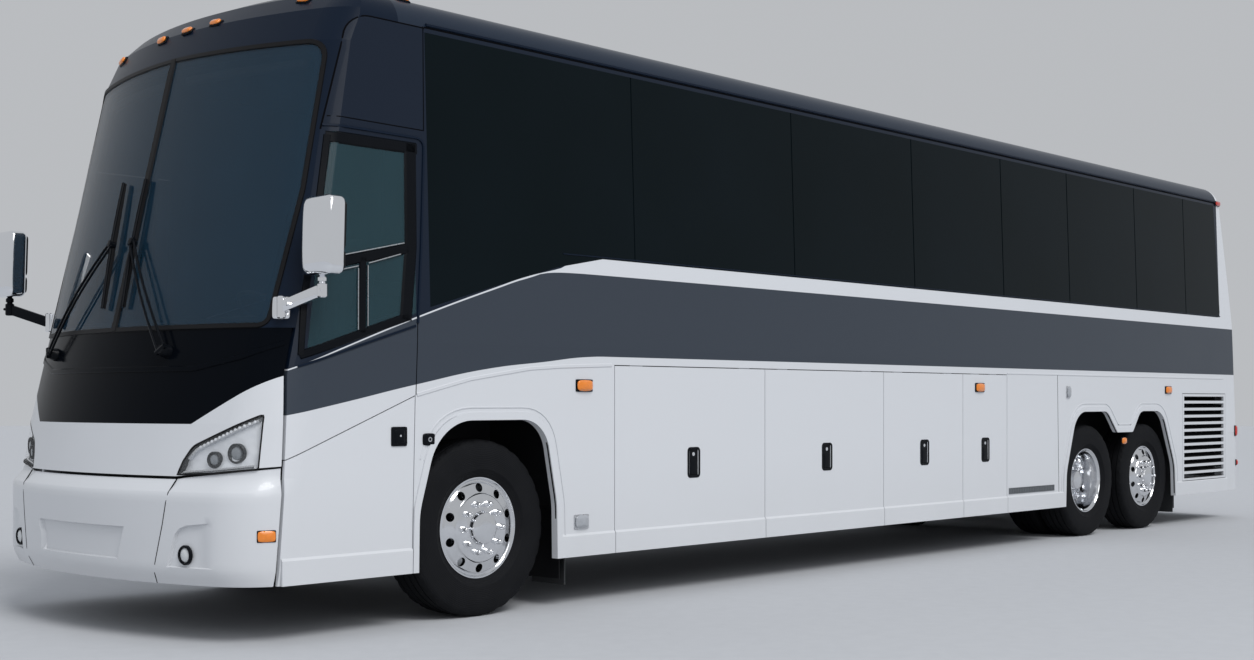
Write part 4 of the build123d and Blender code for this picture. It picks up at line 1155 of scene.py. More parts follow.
# Rows of Y, level and radius
PROJECTORS = ((0.981, 0.968, 0.044), (1.112, 1.002, 0.053))


def bowl_lift(reach, z):
    """Steps across the headlamp's bowl"""
    climb = (z - 0.90) - 0.42 * (abs(plan_y(reach)) - 0.80)
    return 0.006 * (int(climb / 0.05) % 2 != 0)


def make_headlamps():
    """Headlamps: stepped bowl, bezel, light guides, beads, two projectors and a clear cover"""
    for side_name, side, _ in SIDES:
        lamp = side_name + "_headlamp"
        corners = [(side * y, z) for y, z in LAMP_LINE]
        line = wrapped(rounded(corners, LAMP_ROUNDS, 8, closed=True))
        bowl, bezel, guide, beads, rings, eyes, cover = [bmesh.new() for _ in range(7)]
        add_patch(bowl, line, on_wrap, -0.052, -0.040, 0.02, bowl_lift)
        make_piece(lamp + "_bowl", bowl, REFLECTOR, replaces=[lamp])
        add_strip(bezel, line, 0.011, on_wrap, -0.050, 0.0008, closed=True, step=0.03)
        upper = rounded(wrapped(UPPER_GUIDE, side), 0.08)
        add_strip(guide, upper, 0.016, on_wrap, -0.042, -0.010, step=0.03)
        add_strip(guide, wrapped(LOWER_GUIDE, side), 0.012, on_wrap, -0.042, -0.016, step=0.03)
        for index in range(BEADS):
            y, z = BEAD_ROW[0].lerp(BEAD_ROW[1], (index + 0.5) / BEADS)
            spot = on_front(side * y, z, -0.012)
            add_round(beads, spot, (1, side * 0.35, 0), ((0, 0), *BEAD_ROWS), 16)
        for y, z, size in PROJECTORS:
            axis = (1, side * 0.30, 0)
            place = on_front(side * y, z, -0.044)
            ring = ((0.0, 1), (0.024, 1), (0.028, 0.93), (0.024, 0.84), (0.012, 0.72))
            add_turned(rings, place, axis, [(along, size * share) for along, share in ring], 40)
            eye = ((0.012, 0), (0.012, 0.70), (0.020, 0.62), (0.026, 0.38), (0.028, 0))
            add_round(eyes, place, axis, [(along, size * share) for along, share in eye], 32)
        add_patch(cover, line, on_wrap, -0.006, -0.0005, 0.04)
        rows = (
            ("_headlamp_bezel", bezel, RUBBER),
            ("_headlamp_guides", guide, BRIGHT_TRIM),
            ("_headlamp_beads", beads, WHITE_LENS),
            ("_projector_rings", rings, BLACK_TRIM),
            ("_projector_eyes", eyes, DARK_LENS),
            ("_headlamp_cover", cover, LAMP_COVER),
        )
        make_pieces(side_name, rows)


SCREEN_FRAME = ((0.0, 1.668), (1.148, 1.668), (1.180, 2.400), (1.156, 3.226), (0.0, 3.246))
DASH_CREASE = ((0.0, 1.442), (0.760, 1.442), (1.064, 1.506), (1.225, 1.575))


def make_screen_trim():
    """Black surround of the windscreens with its divider, and the crease of the dash panel"""
    form = bmesh.new()
    half = rounded(SCREEN_FRAME, (0, 0.06, 0.6, 0.11, 0), 7)
    path = wrapped(half[1:-1])
    mirror = [(-s, z) for s, z in reversed(path)]
    path = [(0, SCREEN_FRAME[0][1])] + path + [(0, SCREEN_FRAME[-1][1])] + mirror
    add_strip(form, path, 0.030, on_wrap, -0.012, 0.008, closed=True)
    add_strip(form, [(0, 1.66), (0, 3.25)], 0.052, on_wrap, -0.012, 0.012)
    make_piece("windscreen_surround", form, RUBBER)
    line = wrapped(both_ways(rounded(DASH_CREASE, 0.3)[1:]))
    make_strips("dash_crease", DASH_GLOSS, [(line, 0.030, on_wrap, -0.004, 0.007)])


# Rows of the pivot, the blade's middle, and the blade's low and high ends, each as Y and Z
WIPERS = (
    ((-0.778, 1.545), (-0.184, 2.160), (-0.142, 1.790), (-0.225, 2.530)),
    ((0.527, 1.535), (0.050, 2.160), (0.075, 1.790), (0.026, 2.530)),
)
ROD_SPACING = 0.024


def add_rod(form, start, end, lift, radius, sides, parts=1, arch=0.0):
    """Round bar over the front face that arches away from it"""
    places = [start.lerp(end, i / parts) for i in range(parts + 1)]
    lifts = [lift + arch * sin(pi * i / parts) for i in range(parts + 1)]
    add_tube(form, [on_front(p.x, p.y, rise) for p, rise in zip(places, lifts)], radius, sides)


def make_wipers():
    """Twin-rod wipers with their pivots, yokes and blades"""
    form = bmesh.new()
    rubber = bmesh.new()
    for row in WIPERS:
        start, end, low, high = [Vector(p) for p in row]
        across = (end - start).orthogonal().normalized() * ROD_SPACING
        for shift in (-across, across):
            add_rod(form, start + shift, end + shift * 0.7, 0.045, 0.0075, 8, 12, 0.012)
        pivot = ((0, 0.040), (0.036, 0.034), (0.06, 0.024))
        yoke = ((0.022, 0.020), (0.060, 0.018))
        for spot, rows, top in ((start, pivot, 0.06), (end, yoke, 0.062)):
            rows = ((rows[0][0], 0), *rows, (top, 0.0))
            normal = normal_at(on_front, spot.x, spot.y)
            add_round(form, on_front(spot.x, spot.y, -0.002), normal, rows, 24)
        add_rod(form, start - across * 1.4, start + across * 1.4, 0.050, 0.014, 10)
        add_rod(form, end - across * 1.1, end + across * 1.1, 0.046, 0.010, 10)
        add_rod(form, low, high, 0.030, 0.009, 8, 16, 0.010)
        spine = [low.lerp(high, i / 16) for i in range(17)]
        add_strip(rubber, spine, 0.009, on_front, 0.011, 0.030)
    make_piece("wiper_arms", form, BLACK_TRIM)
    make_piece("wiper_rubbers", rubber, RUBBER)


make_bumper()
make_headlamps()
make_screen_trim()
make_wipers()

# Sides


def make_cab_window():
    """Black sash of the driver's window with its bars, channels and the rail round it"""
    trim = (
        (((0.565, 2.712), (0.575, 2.13), (0.622, 1.722)), 0.088),
        (((0.520, 2.690), (1.118, 2.690)), 0.068),
        (((1.112, 2.700), (1.215, 2.130), (1.285, 1.810), (1.318, 1.510)), 0.034),
        (((0.600, 1.742), (0.890, 1.650), (1.325, 1.510)), 0.048),
        (((0.600, 2.120), (1.000, 2.033), (1.250, 1.977)), 0.058),
        (((0.915, 2.050), (0.930, 1.640)), 0.052),
    )
    rows = [(rounded(ahead(path), 0.05), width, ON_LEFT, -0.012, 0.008) for path, width in trim]
    make_strips("cab_window_sash", BLACK_TRIM, rows)
    channels = (
        ((0.628, 2.150), (1.006, 2.066), (1.235, 2.014)),
        ((0.655, 2.086), (0.880, 2.022)),
        ((0.952, 2.002), (1.232, 1.938)),
        ((0.886, 2.010), (0.896, 1.678)),
        ((0.952, 1.990), (0.962, 1.655)),
    )
    rows = [(rounded(ahead(path), 0.03), 0.007, ON_LEFT, 0.004, 0.0105) for path in channels]
    make_strips("cab_window_channels", BRIGHT_TRIM, rows)
    edge = ahead(((1.128, 2.756), (0.462, 2.752), (0.500, 2.130), (0.536, 1.706)))
    sill = ahead(((0.552, 1.690), (0.900, 1.585), (1.338, 1.450)))
    rows = [
        (rounded(edge, 0.06), 0.016, ON_LEFT, -0.002, 0.0075),
        (sill, 0.014, ON_LEFT, -0.002, 0.0065),
    ]
    make_strips("cab_window_rail", NIGHT_PAINT, rows)


def make_body_seams():
    """Sealed joints of roof, front cap and corner panels, drip rails and panel creases"""
    corner = rounded(ahead(((1.138, 2.733), (0.960, 3.387), (0.440, 3.387))), 0.18, 8)
    seams = (
        (ahead(((1.105, 2.806), (0.462, 2.800))), 0.007),
        (ahead(((0.462, 2.800), (0.450, 3.395))), 0.007),
        (((front(0.440), 3.392), (GLASS_REAR_X, 3.392)), 0.010),
        (ahead(((0.552, 1.303), (0.536, 1.706))), 0.006),
        (corner, 0.008),
        (ahead(((-6.970, 1.504), (-7.000, 0.320))), 0.005),
    )
    rows = [(path, width, -0.004, 0.0014) for path, width in seams]
    make_strips("body_seams", DARK_VOID, on_both_sides(rows))
    rows = (
        (((front(0.430), 3.408), (TAIL_X + 0.640, 3.408)), 0.016, -0.002, 0.007),
        (((GLASS_REAR_X, 2.176), (front(-0.640), 2.176)), 0.008, -0.002, 0.004),
    )
    make_strips("drip_rails", NIGHT_PAINT, on_both_sides(rows))
    crease = ahead(((0.545, 1.304), (0.147, 1.396), (-0.336, 1.464), (-0.590, 1.480), (-1.055, 1.496)))
    rows = (
        (rounded(crease, 0.5, 4), 0.022, -0.002, 0.0045),
        (ahead(((-6.060, 1.508), (-10.700, 1.508))), 0.014, -0.002, 0.0045),
    )
    make_strips("panel_creases", WHITE_PAINT, on_both_sides(rows))


def arch_line(points, radii, grow):
    """Rounded line round a wheel opening, set off outward"""
    line = rounded(points, radii, 8)
    made = []
    for index, point in enumerate(line):
        heading = line[min(index + 1, len(line) - 1)] - line[max(index - 1, 0)]
        heading.normalize()
        made.append((point.x + heading.y * grow, point.y - heading.x * grow))
    return made


FRONT_ARCH = (
    (-0.566, 0.330), (-0.558, 0.640), (-0.455, 1.157), (0.380, 1.157), (0.532, 0.640), (0.540, 0.330),
)
REAR_ARCH = (
    (TAG_X - 0.557, 0.330), (TAG_X - 0.540, 0.620), (TAG_X - 0.250, 1.170), (TAG_X + 0.254, 1.170),
    (TAG_X + 0.424, 0.968), (DRIVE_X - 0.460, 0.968), (DRIVE_X - 0.250, 1.170),
    (DRIVE_X + 0.370, 1.170), (DRIVE_X + 0.570, 0.620), (DRIVE_X + 0.581, 0.330),
)
# Wheel openings, each with the radii of its corners
OPENINGS = (
    (ahead(FRONT_ARCH), (0, 0.5, 0.22, 0.33, 0.5, 0)),
    (REAR_ARCH, (0, 0.40, 0.25, 0.15, 0.05, 0.05, 0.15, 0.25, 0.40, 0)),
)
SERVICE_DOOR_X = front(0.530)


def make_arches():
    """Rubber lips and twin contour lines round the wheel openings"""
    lips = []
    lines = []
    for opening in OPENINGS:
        lips.append((arch_line(*opening, -0.010), 0.022, -0.010, 0.006))
        for grow in (-0.045, -0.075):
            path = [p for p in arch_line(*opening, grow) if p[0] < SERVICE_DOOR_X]
            lines.append((path, 0.009, -0.002, 0.0045))
    make_strips("arch_lips", RUBBER, on_both_sides(lips))
    make_strips("arch_contours", WHITE_PAINT, on_both_sides(lines))


# Places of the side lamps, as X and Z from the front axle
DOOR_MARKER = (-5.597, 1.382)
SIDE_MARKERS = ((-0.803, 1.365), DOOR_MARKER, (-9.310, 1.380))
SMALL_MARKER = (-8.300, 0.885)
DOCKING_LAMP = (-0.777, 0.520)
COURTESY_LAMP = (-7.172, 1.351)
# Rows of X, Z and half height of the red lamps on the tail's corners
CORNER_REDS = ((-6.345, 0.945, 0.050), (-6.375, 0.600, 0.026))
ROOF_TAIL_LAMP = (-5.995, 3.392)


def add_marker(bases, lenses, carry, long, tall):
    """Oval side lamp: a base and a crowned lens"""
    add_pad(bases, carry, long / 2 + 0.012, tall / 2 + 0.010, -0.004, 0.009, 0.006)
    add_pad(lenses, carry, long / 2, tall / 2, 0.004, 0.019, 0.009, 0.006)


def make_side_lamps():
    """Amber markers with painted glints on their lenses, docking and courtesy lamps, and the red lamps of
    the tail's corners
    """
    bases, ambers, reds, clears, rims, glints = [bmesh.new() for _ in range(6)]
    door_lamp = [bmesh.new() for _ in range(3)]
    for side_name, side, surface in SIDES:
        for x, z in SIDE_MARKERS:
            on_door = side_name == "left" and (x, z) == DOOR_MARKER
            base, lens, glint = door_lamp if on_door else (bases, ambers, glints)
            carry = onto(surface, front(x), z)
            add_marker(base, lens, carry, 0.125, 0.058)
            # Painted glint: a brighter yellow pad standing just proud of the marker's lens
            add_pad(glint, carry, 0.030, 0.014, 0.012, 0.0262, 0.007, cuts=5)
        small, docking, courtesy = [
            onto(surface, front(x), z) for x, z in (SMALL_MARKER, DOCKING_LAMP, COURTESY_LAMP)
        ]
        add_marker(bases, ambers, small, 0.085, 0.050)
        add_marker(rims, clears, docking, 0.105, 0.070)
        add_marker(rims, clears, courtesy, 0.052, 0.090)
        for x, z, tall in CORNER_REDS:
            carry = facing(*skin_hit((x, side * 3, z), (0, -side, 0)))
            add_pad(bases, carry, 0.030, tall + 0.008, -0.004, 0.008, 0.006)
            add_pad(reds, carry, 0.022, tall, 0.004, 0.020, 0.008, 0.004)
        carry = onto(surface, *ROOF_TAIL_LAMP)
        add_pad(bases, carry, 0.062, 0.028, -0.004, 0.008, 0.006)
        add_pad(reds, carry, 0.052, 0.020, 0.004, 0.022, 0.009, 0.004)
    door = "left_service_door"
    finishes = (("_lamp_base", BLACK_TRIM), ("_lamp_lens", AMBER), ("_lamp_bulb", PAINTED_GLINT))
    make_pieces(door, [(end, form, finish) for (end, finish), form in zip(finishes, door_lamp)], door)
    rows = (
        ("_rims", rims, BRIGHT_TRIM),
        ("_bulbs", glints, PAINTED_GLINT),
        ("_bases", bases, BLACK_TRIM),
        ("_ambers", ambers, AMBER),
        ("_reds", reds, RED_LENS),
        ("_clears", clears, PALE_LENS),
    )
    make_pieces("side_lamp", rows)


GRIP_Z = 0.857
LATCHED = (
    "left_bay_door_1", "left_bay_door_2", "left_bay_door_3", "left_service_door",
    "right_bay_door_1", "right_bay_door_2", "right_bay_door_3",
)
BUTTON = (
    (-0.006, 0.0), (-0.006, 0.013), (-0.001, 0.013), (0.001, 0.010), (0.0005, 0.005), (0.002, 0.004),
    (0.002, 0.0),
)


def door_span(name):
    """Stations of the rear and front ends of a door, read from its mesh"""
    stations = [v.co.x for v in frame["nodes"][name].data.vertices]
    return min(stations), max(stations)


def make_grips():
    """Recessed paddle latches of the doors: black tray, paddle and silver lock"""
    for door in LATCHED:
        surface = ON_LEFT if door.startswith("left") else ON_RIGHT
        carry = onto(surface, sum(door_span(door)) / 2, GRIP_Z)
        tray = bmesh.new()
        lip = rounded_box(0.057, 0.094, 0.022)
        add_strip(tray, lip, 0.018, near(carry), -0.002, 0.0040, closed=True, step=0.02)
        add_pad(tray, carry, 0.054, 0.092, -0.0095, -0.0040, 0.002)
        add_cushion(tray, (-0.040, -0.080, -0.0090), (0.040, 0.022, 0.0010), 0.004, 7, 0.002, carry)
        lock = bmesh.new()
        add_knob(lock, carry, (0, 0.056, 0), BUTTON, 32)
        make_pieces(door, (("_latch", tray, BLACK_TRIM), ("_lock", lock, CHROME)), door)


HANDLE_X = front(0.790)
VENT = (-6.095, -6.900)
VENT_RIBS = 28


def make_side_fittings():
    """Latch of the front service door, arch lock, entrance door handle and skirt vents"""
    carry = onto(ON_LEFT, front(0.675), 1.072)
    latch, key, flap, barrel, handle = [bmesh.new() for _ in range(5)]
    add_pad(latch, carry, 0.056, 0.054, -0.004, 0.007, 0.007)
    add_pad(latch, carry, 0.034, 0.036, 0.002, 0.015, 0.006, 0.003)
    add_knob(key, carry, (0, 0.004, 0), ((0.010, 0.0), (0.010, 0.007), (0.018, 0.006), (0.019, 0.0)), 24)
    door = "front_service_door"
    make_pieces(door, (("_latch", latch, BLACK_TRIM), ("_lock", key, CHROME)), door)
    carry = onto(ON_LEFT, front(0.460), 1.052)
    add_pad(flap, carry, 0.042, 0.032, -0.004, 0.010, 0.008, 0.003)
    ring = ((0.008, 0.0), (0.008, 0.015), (0.016, 0.014), (0.016, 0.008), (0.012, 0.007), (0.012, 0.0))
    add_knob(barrel, carry, (0, 0, 0), ring, 24)
    make_pieces("arch_lock", (("", flap, BLACK_TRIM), ("_barrel", barrel, BRIGHT_TRIM)))
    low, high = [ON_RIGHT(HANDLE_X, z, 0.004) for z in (1.520, 1.760)]
    out = Vector((0, -0.030, 0))
    add_tube(handle, rounded([low, low + out, high + out, high], 0.03, 5), 0.009, 12)
    make_piece("entrance_door_handle", handle, CHROME, "entrance_door")
    rows = [(ahead([(x, 0.489) for x in VENT]), 0.048, -0.002, 0.0025)]
    for edge in (0.466, 0.512):
        rows.append((ahead([(VENT[0] + 0.005, edge), (VENT[1] - 0.005, edge)]), 0.006, -0.002, 0.006))
    for index in range(VENT_RIBS):
        x = front(VENT[0] - 0.0298 * index)
        rows.append(([(x, 0.466), (x, 0.512)], 0.009, -0.002, 0.006))
    make_strips("skirt_vents", VENT_METAL, on_both_sides(rows))


MIRROR_Y = 1.456
MIRROR_HALF = 0.120
GLASS_HALF = 0.098
MIRROR_LEVELS = (1.922, 2.334)
# Rows of the low and high edge of each glass, and its swell
MIRROR_GLASSES = ((2.062, 2.302, 0.0005), (1.954, 2.044, 0.004))
LOWER_KNUCKLE = ((0, 0.020), (0.006, 0.027), (0.070, 0.027), (0.076, 0.021))
UPPER_KNUCKLE = (
    (0, 0.018), (0.012, 0.017), (0.016, 0.024), (0.034, 0.024), (0.046, 0.014), (0.060, 0.014),
)
PIN = ((0, 0.018), (0.005, 0.023), (0.112, 0.023), (0.117, 0.018))
BRACKET_BOLT = ((0, 0), (0, 0.010), (0.007, 0.010), (0.009, 0.007), (0.009, 0))
MIRROR_ROOT_X = front(1.410)
# Left and right: X of the head, elbow of the arm, both from the front axle, and the arm's finish
MIRRORS = (
    (1.319, (1.312, 1.448, 1.846), CHROME),
    (1.565, (1.556, -1.450, 1.846), BLACK_TRIM),
)


def mirror_shell(head_x, head_y):
    """Mirror head whose front face is rounded away and leans back"""
    shell = bmesh.new()
    low = (head_x - 0.068, head_y - MIRROR_HALF, MIRROR_LEVELS[0])
    high = (head_x + 0.072, head_y + MIRROR_HALF, MIRROR_LEVELS[1])
    add_cushion(shell, low, high, 0.038, 19)
    for vert in shell.verts:
        share = (vert.co.x - low[0]) / (high[0] - low[0])
        tall = (vert.co.z - low[2]) / (high[2] - low[2]) * 2 - 1
        wide = (vert.co.y - head_y) / MIRROR_HALF
        if share > 0.5:
            vert.co.x -= 0.030 * (share - 0.5) * (tall**4 + abs(wide) ** 3)
        vert.co.x -= 0.012 * (tall + 1) * 0.5
    return shell


def make_mirror_head(name, head_x, head_y):
    """Chrome mirror head with its glasses in black gaskets"""
    make_piece(name + "_head", mirror_shell(head_x, head_y), CHROME, replaces=[name], sharp=60)
    gasket, glass = bmesh.new(), bmesh.new()

    def behind(y, z, lift):
        return Vector((head_x - 0.066 - 0.012 * (z - 1.932) / 0.402 - lift, y, z))

    for low_z, high_z, swell in MIRROR_GLASSES:
        middle = (head_y, (low_z + high_z) / 2)
        ring = rounded_box(GLASS_HALF, (high_z - low_z) / 2, 0.022, 5, middle)
        add_strip(gasket, ring, 0.013, behind, -0.010, 0.0055, closed=True, step=0.03)

        def domed(y, _):
            return swell * (1 - ((y - head_y) / GLASS_HALF) ** 2)

        add_patch(glass, ring, behind, -0.008, 0.002, 0.02, domed)
    make_pieces(name, (("_gasket", gasket, RUBBER), ("_glass", glass, MIRROR_FACE)))


def make_mirror_arm(name, side, surface, elbow, material):
    """Jointed arm of a mirror and its bracket on the body"""
    arm, bracket = bmesh.new(), bmesh.new()
    root = Vector((MIRROR_ROOT_X, side * 1.228, 1.760))
    across = (elbow - root).normalized()
    reach = (elbow - root).length - 0.024
    beam = facing(root + across * 0.010, across)
    add_block(arm, (-0.016, -0.031, 0), (0.016, 0.031, reach), 0.006, 2, beam)
    add_turned(arm, elbow - UP * 0.040, UP, LOWER_KNUCKLE, 28)
    add_turned(arm, elbow + UP * 0.030, UP, UPPER_KNUCKLE, 28)
    out = Vector((0.75, side * 0.66, 0)).normalized()
    for spot, size in ((root + across * 0.045, 0.010), (elbow, 0.009)):
        add_round(arm, spot, out, ((0, 0), (0.010, size), (0.034, size), (0.038, size * 0.7), (0.038, 0)), 6)
    add_turned(bracket, root - UP * 0.058, UP, PIN, 28)
    carry = onto(surface, MIRROR_ROOT_X - 0.028, 1.758)
    add_pad(bracket, carry, 0.046, 0.060, -0.010, 0.020, 0.012, 0.002, cuts=9)
    for z in (-0.040, 0.040):
        add_knob(bracket, carry, (-0.022, z, 0.018), BRACKET_BOLT, 6)
    make_pieces(name, (("_arm", arm, material), ("_bracket", bracket, CHROME)))


def make_mirrors():
    """Mirror heads on their arms, left and right"""
    for (side_name, side, surface), (head_x, elbow, material) in zip(SIDES, MIRRORS):
        name = side_name + "_mirror"
        make_mirror_head(name, front(head_x), side * MIRROR_Y)
        elbow = Vector((front(elbow[0]), elbow[1], elbow[2]))
        make_mirror_arm(name, side, surface, elbow, material)


FLAP_Y = 1.095


def make_mud_flaps():
    """Ribbed rubber flaps behind the front and tag wheels"""
    form = bmesh.new()
    for side in (1, -1):
        middle = side * FLAP_Y
        for x in (front(-0.640), TAG_X - 0.655):
            low = (x - 0.007, middle - 0.145, 0.170)
            add_block(form, low, (x + 0.001, middle + 0.145, 0.600), 0.002, 1)
            for rib in range(5):
                y = middle - 0.116 + rib * 0.058
                add_block(form, (x - 0.011, y - 0.006, 0.185), (x - 0.004, y + 0.006, 0.585), 0.002, 1)
    make_piece("mud_flaps", form, RUBBER)


ACROSS = (0, 1, 0)
ALONG = (1, 0, 0)
# Rows of X from the front axle, Y and the way each roof lamp lies along
ROOF_LAMPS = (
    (1.183, -0.281, ACROSS), (1.187, -0.005, ACROSS), (1.166, 0.255, ACROSS), (0.994, 0.858, ACROSS),
    (1.068, -0.925, ACROSS), (0.504, 1.112, ALONG), (0.504, -1.112, ALONG),
)


def make_roof_lamps():
    """Streamlined amber marker lamps on the front of the roof"""
    bases = bmesh.new()
    ambers = bmesh.new()
    for x, y, way in ROOF_LAMPS:
        point, normal = skin_hit((front(x), y, 5), (0, 0, -1))
        carry = facing(point - normal * 0.004, normal, -Vector(way).cross(normal).normalized())
        add_pad(bases, carry, 0.050, 0.026, -0.004, 0.010, 0.009)
        add_pad(ambers, carry, 0.040, 0.019, 0.006, 0.026, 0.010, 0.003)
    make_pieces("roof_lamp", (("_bases", bases, BLACK_TRIM), ("s", ambers, AMBER)))


make_cab_window()
make_body_seams()
make_arches()
make_side_lamps()
make_grips()
make_side_fittings()
make_mirrors()
make_mud_flaps()
make_roof_lamps()

# Tail

POD_Y = 1.045
POD_Z = 1.260
# Rows of level, radius and lens of the lamps in each cluster
TAIL_LAMPS = ((1.085, 0.056, "clear"), (1.255, 0.062, "red"), (1.430, 0.062, "amber"))
# Places of the high lamps, as Y and Z
HIGH_LAMP = (1.060, 3.150)
MIDDLE_LAMPS = ((-0.150, 3.330), (0.0, 3.330), (0.150, 3.330))
STOP_Z = 3.180
STOP_CELLS = 9


def tail_hit(y, z):
    """Point and outward normal of the tail at Y and Z"""
    return skin_hit((TAIL_X - 2, y, z), (1, 0, 0))


def tail_place(y, z, lift):
    """Point on the tail at Y and Z, lifted off it"""
    point, normal = tail_hit(y, z)
    return point + normal * lift


def make_tail_lamps():
    """Stacked round lamps in black pods, upper markers and the high stop lamp"""
    pods = bmesh.new()
    lenses = {name: bmesh.new() for name in ("clear", "red", "amber")}
    for side in (1, -1):
        point, normal = tail_hit(side * POD_Y, POD_Z)
        carry = facing(point, normal)
        add_pad(pods, carry, 0.092, 0.275, -0.030, 0.008, 0.016, 0.003, cuts=11)
        for level, radius, kind in TAIL_LAMPS:
            base = carry((0, level - POD_Z, 0.004))
            outer = radius + 0.010
            rim = ((0.0, outer), (0.008, outer), (0.012, radius + 0.004), (0.010, radius), (0.0, radius))
            add_round(pods, base, normal, ((0.0, 0.0), *rim), 40)
            dome = ((0.001, -0.001, 1), (0.012, -0.004, 1), (0.018, 0, 0.66), (0.020, 0, 0.30))
            rows = [(along, radius * share + less) for along, less, share in dome]
            add_turned(lenses[kind], base, normal, rows, 40)
        carry = facing(*tail_hit(side * HIGH_LAMP[0], HIGH_LAMP[1]))
        add_pad(pods, carry, 0.060, 0.030, -0.010, 0.010, 0.009)
        add_pad(lenses["red"], carry, 0.048, 0.020, 0.004, 0.024, 0.010, 0.004)
    for place in MIDDLE_LAMPS:
        carry = facing(*tail_hit(*place))
        add_pad(pods, carry, 0.052, 0.026, -0.010, 0.009, 0.009)
        add_pad(lenses["red"], carry, 0.042, 0.018, 0.004, 0.022, 0.009, 0.003)
    for cell in range(STOP_CELLS):
        carry = facing(*tail_hit((cell - 4) * 0.052, STOP_Z))
        add_pad(lenses["red"], carry, 0.023, 0.017, -0.004, 0.013, 0.006, 0.003, cuts=5)
    make_piece("tail_lamp_pods", pods, BLACK_TRIM)
    finishes = {"clear": CLEAR_LENS, "red": RED_LENS, "amber": AMBER}
    make_pieces("tail_lamps_", [(kind, form, finishes[kind]) for kind, form in lenses.items()])


def make_plate_holder():
    """Blank number plate in a lit frame on the rear bumper"""
    carry = facing(*tail_hit(0, 0.700))
    holder = bmesh.new()
    ring = rounded_box(0.170, 0.092, 0.014, 4)
    add_strip(holder, ring, 0.016, near(carry), -0.010, 0.010, closed=True, step=0.05)
    for x in (-0.085, 0.085):
        add_cushion(holder, (x - 0.032, 0.094, -0.004), (x + 0.032, 0.120, 0.012), 0.006, 7, 0.0, carry)
    plate = bmesh.new()
    add_block(plate, (-0.160, -0.082, -0.006), (0.160, 0.082, 0.003), 0.0015, 2, carry)
    for x in (-0.130, 0.130):
        add_knob(plate, carry, (x, 0.062, 0.002), ((0, 0), (0, 0.008), (0.003, 0.007), (0.004, 0)), 16)
    make_pieces("", (("plate_frame", holder, BLACK_TRIM), ("blank_plate", plate, BRIGHT_TRIM)))


def make_engine_door_fittings():
    """Latches and a lifting lip on the engine door"""
    latches = bmesh.new()
    for y in (-0.560, 0.560):
        carry = facing(*tail_hit(y, 1.018))
        add_pad(latches, carry, 0.060, 0.028, -0.006, 0.008, 0.006)
        add_cushion(latches, (-0.044, -0.018, 0.004), (0.044, 0.010, 0.020), 0.006, 7, 0.002, carry)
    lip = bmesh.new()
    path = [(y / 10, 0.998) for y in range(-7, 8)]
    add_strip(lip, path, 0.020, tail_place, -0.004, 0.010)
    rows = (("_latches", latches, BLACK_TRIM), ("_lip", lip, RUBBER))
    make_pieces("engine_door", rows, "engine_door")


def make_rear_bumper_fittings():
    """Reflectors, joints and the covered tow eyes of the rear bumper, and the tail pipe"""
    reds, joints, pipe = [bmesh.new() for _ in range(3)]
    for side in (1, -1):
        carry = facing(*tail_hit(side * 0.930, 0.560))
        add_pad(reds, carry, 0.070, 0.022, -0.004, 0.010, 0.007, 0.002)
        path = [(side * 0.700, z / 100) for z in range(32, 92, 6)]
        add_strip(joints, path, 0.005, tail_place, -0.003, 0.0014)
        cover = ((0.330, 0.420), (0.430, 0.420), (0.430, 0.520), (0.330, 0.520))
        ring = rounded([(side * y, z) for y, z in cover], 0.016, 4, closed=True)
        add_strip(joints, ring, 0.004, tail_place, -0.003, 0.0014, closed=True, step=0.04)
    spots = rounded(((-5.900, -0.620, 0.420), (-6.080, -0.620, 0.262), (-6.480, -0.620, 0.250)), 0.14, 6)
    add_tube(pipe, spots, 0.052, 24)
    ring = ((0.0, 0.050), (0.0, 0.060), (0.120, 0.060), (0.126, 0.055), (0.120, 0.049), (0.010, 0.047))
    add_round(pipe, (-6.400, -0.620, 0.252), (-1, 0, -0.03), ring, 28, joined=True)
    rows = (
        ("bumper_reflectors", reds, RED_LENS),
        ("rear_bumper_joints", joints, DARK_VOID),
        ("tail_pipe", pipe, ENGINE_METAL),
    )
    make_pieces("", rows)


SCREEN_LEVELS = (0.570, 1.225)
SCREEN_INSET = 0.035
WIRE_SPACING = 0.03


def make_slot_screen():
    """Dark mesh behind the slots of the radiator door"""
    form = bmesh.new()
    start, end = door_span("radiator_door")
    start += SCREEN_INSET
    end -= SCREEN_INSET
    inner_y = min(v.co.y for v in frame["nodes"]["radiator_door"].data.vertices if v.co.z < 0.6)
    low = inner_y - side_y((start + end) / 2, 0.9) - 0.004
    bottom, top = SCREEN_LEVELS
    outline = ((start, bottom), (end, bottom), (end, top), (start, top))
    add_patch(form, outline, ON_LEFT, low - 0.004, low, 0.06)
    for index in range(int((end - start) / WIRE_SPACING)):
        x = start + 0.015 + index * WIRE_SPACING
        wire = [(x, bottom + 0.010), (x, top - 0.010)]
        add_strip(form, wire, 0.006, ON_LEFT, low - 0.001, low + 0.003, step=0.2)
    make_piece("radiator_door_screen", form, DARK_VOID, "radiator_door")


make_tail_lamps()
make_plate_holder()
make_engine_door_fittings()
make_rear_bumper_fittings()
make_slot_screen()

# Driver's place

WHEEL_CENTRE = Vector((front(1.040), 0.620, 1.740))
WHEEL_AXIS = Vector((-0.55, 0, 0.835)).normalized()
RIM_RADIUS = 0.220
# Rows of reach, half width and lift along each spoke
SPOKE = ((0.050, 0.034, 0.010), (0.110, 0.024, 0.004), (0.170, 0.018, 0.006), (0.215, 0.020, 0.014))
SPOKE_ANGLES = (200, 340, 270)
HUB = ((-0.020, 0.0), (-0.020, 0.044), (0.004, 0.064), (0.020, 0.060), (0.030, 0.044), (0.033, 0.0))
COLUMN = ((-0.190, 0.030), (-0.050, 0.030), (-0.030, 0.040), (-0.012, 0.040))


